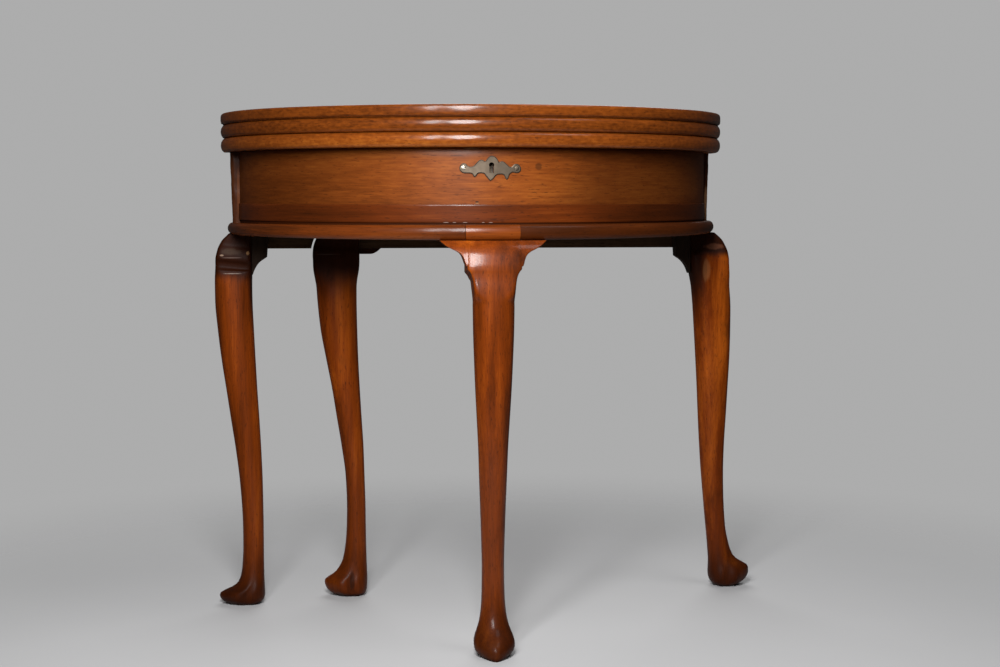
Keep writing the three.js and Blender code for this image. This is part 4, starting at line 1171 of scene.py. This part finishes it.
def beadRing(proud, turn):
    top, bottom = between(beadWear, turn / math.pi)
    low, high = bead["z0"] + bottom, bead["z0"] + bead["high"] + top
    out = frieze["overhang"] - bead["proud"] - proud
    inner = frieze["overhang"] - band["gap"]
    middle, half = (low + high) / 2, (high - low) / 2
    rows = [(inner, low), (inner, high)]
    for i in range(15):
        roll = math.pi * (0.5 - i / 14)
        rows.append((out + bead["nose"] * (1 - math.cos(roll)), middle + half * math.sin(roll)))
    return [bowPoint(inset, turn, z) for inset, z in rows]


def makeBeads():
    middle = frieze["overhang"] - bead["proud"]
    left, right = turnAtX(middle, bead["left"]), turnAtX(middle, bead["right"])
    parts = {
        "left": (0, turnAtX(middle, bead["left"] - 0.7), 0, 110, "bead"),
        "right": (turnAtX(middle, bead["right"] + 0.3), math.pi, 0, 110, "bead"),
        "centre": (left, right, bead["centreProud"], 16, "beadCentre"),
    }
    for part, (first, last, proud, steps, finish) in parts.items():
        rings = [beadRing(proud, turn) for turn in turnsBetween(first, last, steps)]
        holder = newPiece(f"base_bead_{part}_moulding", "frame", finish, rings)
        if part != "centre":
            (x0, y0, z0), (x1, y1, z1) = bead["postRoom"]
            low, high = (-x1, -x0) if part == "left" else (x0, x1)
            combine(holder, [box((low, y0, z0), (high, y1, z1), "band")], "DIFFERENCE")
        settle(holder, 40, "base_bead_" + part)


# lock plate: its outline from the keyhole, and its two slotted screws with their slant in degrees
lockPlate = {
    "z": 647.8, "gap": 0.3, "thick": 1.6, "edge": 0.55, "bevel": 1.1,
    "outline": [
        (0.8, 15.4), (3.6, 14.7), (6.2, 12.9), (8.3, 10.2), (9.4, 8), (10.2, 6.4), (11.3, 7.4),
        (13.2, 8.2), (15.6, 8), (18, 6.4), (20.6, 4), (23.2, 1.6), (25.6, 0.4), (27.8, 1.4),
        (29.8, 3.9), (32.4, 4.9), (35.4, 4.3), (37.9, 2.3), (39.3, -0.6), (39.2, -3.6),
        (37.4, -6.2), (34.4, -7.3), (31, -6.9), (28, -6.2), (25.6, -7.4), (24, -8.8),
        (23.2, -11.2), (22.2, -14), (20.2, -16.2), (18.4, -14.4), (17.4, -11.2), (15.6, -9.2),
        (12, -8.8), (8, -9.2), (5.6, -10.4), (3.6, -13.2), (1, -15.8), (-1.2, -17.6),
        (-3.6, -16.2), (-5.6, -13.4), (-7.6, -11.4), (-9, -8.4), (-12.6, -7.4), (-16, -7.3),
        (-18.4, -8.2), (-19.8, -10.6), (-22.2, -12.8), (-24.2, -11.2), (-25, -8.6), (-28, -7.6),
        (-32, -7.6), (-36, -7.7), (-39.6, -6.4), (-42, -3.4), (-42.5, -0.4), (-41.2, 2.9),
        (-38.6, 5.2), (-35.4, 5.6), (-33, 4.2), (-31.4, 1.8), (-28.6, 0.9), (-25.2, 1.1),
        (-22.4, 2.9), (-19.6, 6.2), (-17, 9), (-14.2, 10.2), (-11.6, 9.8), (-9.4, 8.2),
        (-8.2, 7.6), (-6.6, 10), (-4.6, 13), (-2, 15),
    ],
    "screws": [(-36.9, -0.6, 25), (33.2, -1.1, -50)],
    "screwRadius": 3.1, "slit": (4, 0.9, 0.6), "slitOut": 1.1,
    # the screw's dome: share of the radius, height over the plate
    "dome": [(1, -0.8), (1, 0.25), (0.93, 0.5), (0.75, 0.7), (0.45, 0.85), (0.12, 0.9)],
}
# keyhole: for the wall's cut and the plate's, the room around it, and the depths it runs between
key = {
    "radius": 3.5, "slot": 2.9, "lift": 3.2, "drop": 7.2,
    "wall": (0.3, -346, -314), "plate": (0, -350, -330),
}


def keyShape(grow):
    radius, slot = key["radius"] + grow, key["slot"] + grow
    spread = math.asin(slot / radius)
    turns = turnsBetween(spread - math.pi / 2, 3 * math.pi / 2 - spread, 14)
    shape = [(radius * math.cos(turn), key["lift"] + radius * math.sin(turn)) for turn in turns]
    return shape + [(-slot, -key["drop"] - grow), (slot, -key["drop"] - grow)]


def keyCutter(grow, y0, y1, finish):
    rings = [[at(x, y, lockPlate["z"] + z) for x, z in keyShape(grow)] for y in (y1, y0)]
    return tool(rings, finish)


def facePoint(x, z, proud):
    # a place that far in front of the frieze
    wide, deep = leafPlan["halfWidth"] - frieze["overhang"], leafPlan["depth"] - frieze["overhang"]
    return at(x, -deep * math.sqrt(1 - (x / wide) ** 2) - proud, z)


def rounded(points):
    # the outline with its corners cut twice, so that it runs in curves
    for _ in range(2):
        softer = []
        for i, (x, z) in enumerate(points):
            nx, nz = points[(i + 1) % len(points)]
            softer += [(x + (nx - x) * share, z + (nz - z) * share) for share in (0.25, 0.75)]
        points = softer
    return points


def insetOutline(points, inset):
    moved = []
    for i, (x, z) in enumerate(points):
        (px, pz), (nx, nz) = points[i - 1], points[(i + 1) % len(points)]
        along = Vector((nx - px, nz - pz)).normalized()
        moved.append((x - along.y * inset, z + along.x * inset))
    return moved


def makeLockPlate():
    turned = list(reversed(rounded(lockPlate["outline"])))
    top = lockPlate["gap"] + lockPlate["thick"]
    levels = [(0, lockPlate["gap"]), (0, top - lockPlate["edge"]), (lockPlate["bevel"], top)]
    rings = []
    for inset, proud in levels:
        outline = insetOutline(turned, inset)
        rings.append([facePoint(x, lockPlate["z"] + z, proud) for x, z in outline])
    holder = newPiece("lock_plate", "frame", ["brass", "grime"], rings)
    faceOutward(holder, triangles=True)
    combine(holder, [keyCutter(*key["plate"], "brass")], "DIFFERENCE")
    # faces not turned to the front take the dark finish: painted shade and grime round the outline
    for face in holder.data.polygons:
        face.material_index = 0 if face.normal.y < -0.9 else 1
    settle(holder, 14, "escutcheon")
    for number, (x, z, slant) in enumerate(lockPlate["screws"], 1):
        makeScrew(number, x, lockPlate["z"] + z, slant, top)


def makeScrew(number, x, z, slant, proud):
    rings = []
    for share, out in lockPlate["dome"]:
        radius = lockPlate["screwRadius"] * share / 1000
        middle = facePoint(x, z, proud + out)
        circle = [Vector((radius * math.cos(turn), 0, -radius * math.sin(turn)))
                  for turn in turnsRound(28)]
        rings.append([middle + point for point in circle])
    finish = "screw" if number == 1 else "brass"
    holder = newPiece(f"lock_plate_screw_{number}", "frame", finish, rings)
    faceOutward(holder)
    slit = lockPlate["slit"]
    # the slit is cut with the dark finish: painted shade in it
    slot = box([-half for half in slit], slit, "grime")
    slot.data.transform(Matrix.Translation(-at(0, 0, 0)))
    aim = Matrix.Rotation(math.radians(slant), 4, "Y")
    slot.data.transform(Matrix.Translation(facePoint(x, z, proud + lockPlate["slitOut"])) @ aim)
    combine(holder, [slot], "DIFFERENCE")
    shadeSmooth(holder, 40)


# ears beside the front leg, carved with its knee: out from the leg's side, lower edge
ears = {
    "outline": [
        (34.8, 517.6), (37.4, 519.4), (38.6, 522.5), (39.8, 527), (41.4, 531.1), (44, 534.9),
        (48.8, 538.1), (54, 540.5), (58.8, 542.9), (63, 545.5), (66.8, 548.5), (69.8, 551.2),
    ],
    "topZ": 551.9, "deep": 36, "rise": 24, "riseFrom": 515, "backZ": 530, "fall": 0.0019, "edge": 1.6,
}


def cheek(v, z):
    # the front leg's face where it spreads out under the bead
    return between(legPlan["face"], z)[0] + 0.4 - ears["fall"] * v * v


def earSection(v, low):
    # back corner, rounded lower edge, then the face up to the top
    edge, top = ears["edge"], ears["topZ"]
    back = cheek(v, ears["backZ"]) - min(ears["deep"], ears["rise"] + low - ears["riseFrom"])
    section = [(back, low), (cheek(v, low) - edge - 1.2, low)]
    for k in range(5):
        turn = math.pi / 2 * k / 4
        z = low + edge * (1 - math.cos(turn)) * 0.9
        section.append((cheek(v, z) - edge * (1 - math.sin(turn)), z))
    start = low + edge * 0.9
    for k in range(1, 13):
        z = start + (top - start) * k / 12
        section.append((cheek(v, z), z))
    return section + [(back, top)]


def makeEars():
    place = legPlace(dict(legs["front_leg"], lean=(0, 0)))
    outline = ears["outline"]
    fine = []
    for (x0, z0), (x1, z1) in zip(outline, outline[1:]):
        fine += [(x0 + (x1 - x0) * k / 4, z0 + (z1 - z0) * k / 4) for k in range(4)]
    fine.append(outline[-1])
    for side, name in ((-1, "front_leg_ear_left"), (1, "front_leg_ear_right")):
        rings = []
        for x, low in fine:
            level = [place(u, side * x, z) for u, z in earSection(side * x, low)]
            rings.append(level if side < 0 else list(reversed(level)))
        holder = newPiece(name + "_carved", "frame", "legs", rings)
        faceOutward(holder)
        settle(holder, 38, name)


makeLegs()
makeStubRail()
makeEars()
print("legs carved")
for name in leaves:
    makeLeaf(name)
for name in baizes:
    makeBaize(name)
print("leaves and baize laid")
makeFrieze()
makeBeads()
makeLockPlate()
print("frieze, bead and lock plate fitted")


# which finish each CAD node takes: the first of these words found in its name
nodeFinishes = {
    "lock_case": "iron", "knuckle_pin": "iron", "prop_screw": "iron",
    "hinge_rail": "rails", "hinge_": "brass", "rail": "rails", "prop": "rails", "glue": "rails",
    "well_bottom": "wellBoard", "escutcheon": "brass", "lock_bolt": "brass", "strike": "brass",
    "baize": "baize", "gate_leg": "gateLeg", "left_leg": "brackets", "right_leg": "brackets",
    "leg": "legs", "bow_frieze": "frieze", "band": "band", "bead": "bead", "_leaf": "leaves",
}

for name, holder in nodes.items():
    finish = next(finish for part, finish in nodeFinishes.items() if part in name)
    for slot in holder.material_slots:
        slot.link = "OBJECT"
        slot.material = finishes[finish]

addCamera()
addLamps()
addStage()
print("camera, lamps and stage ready")
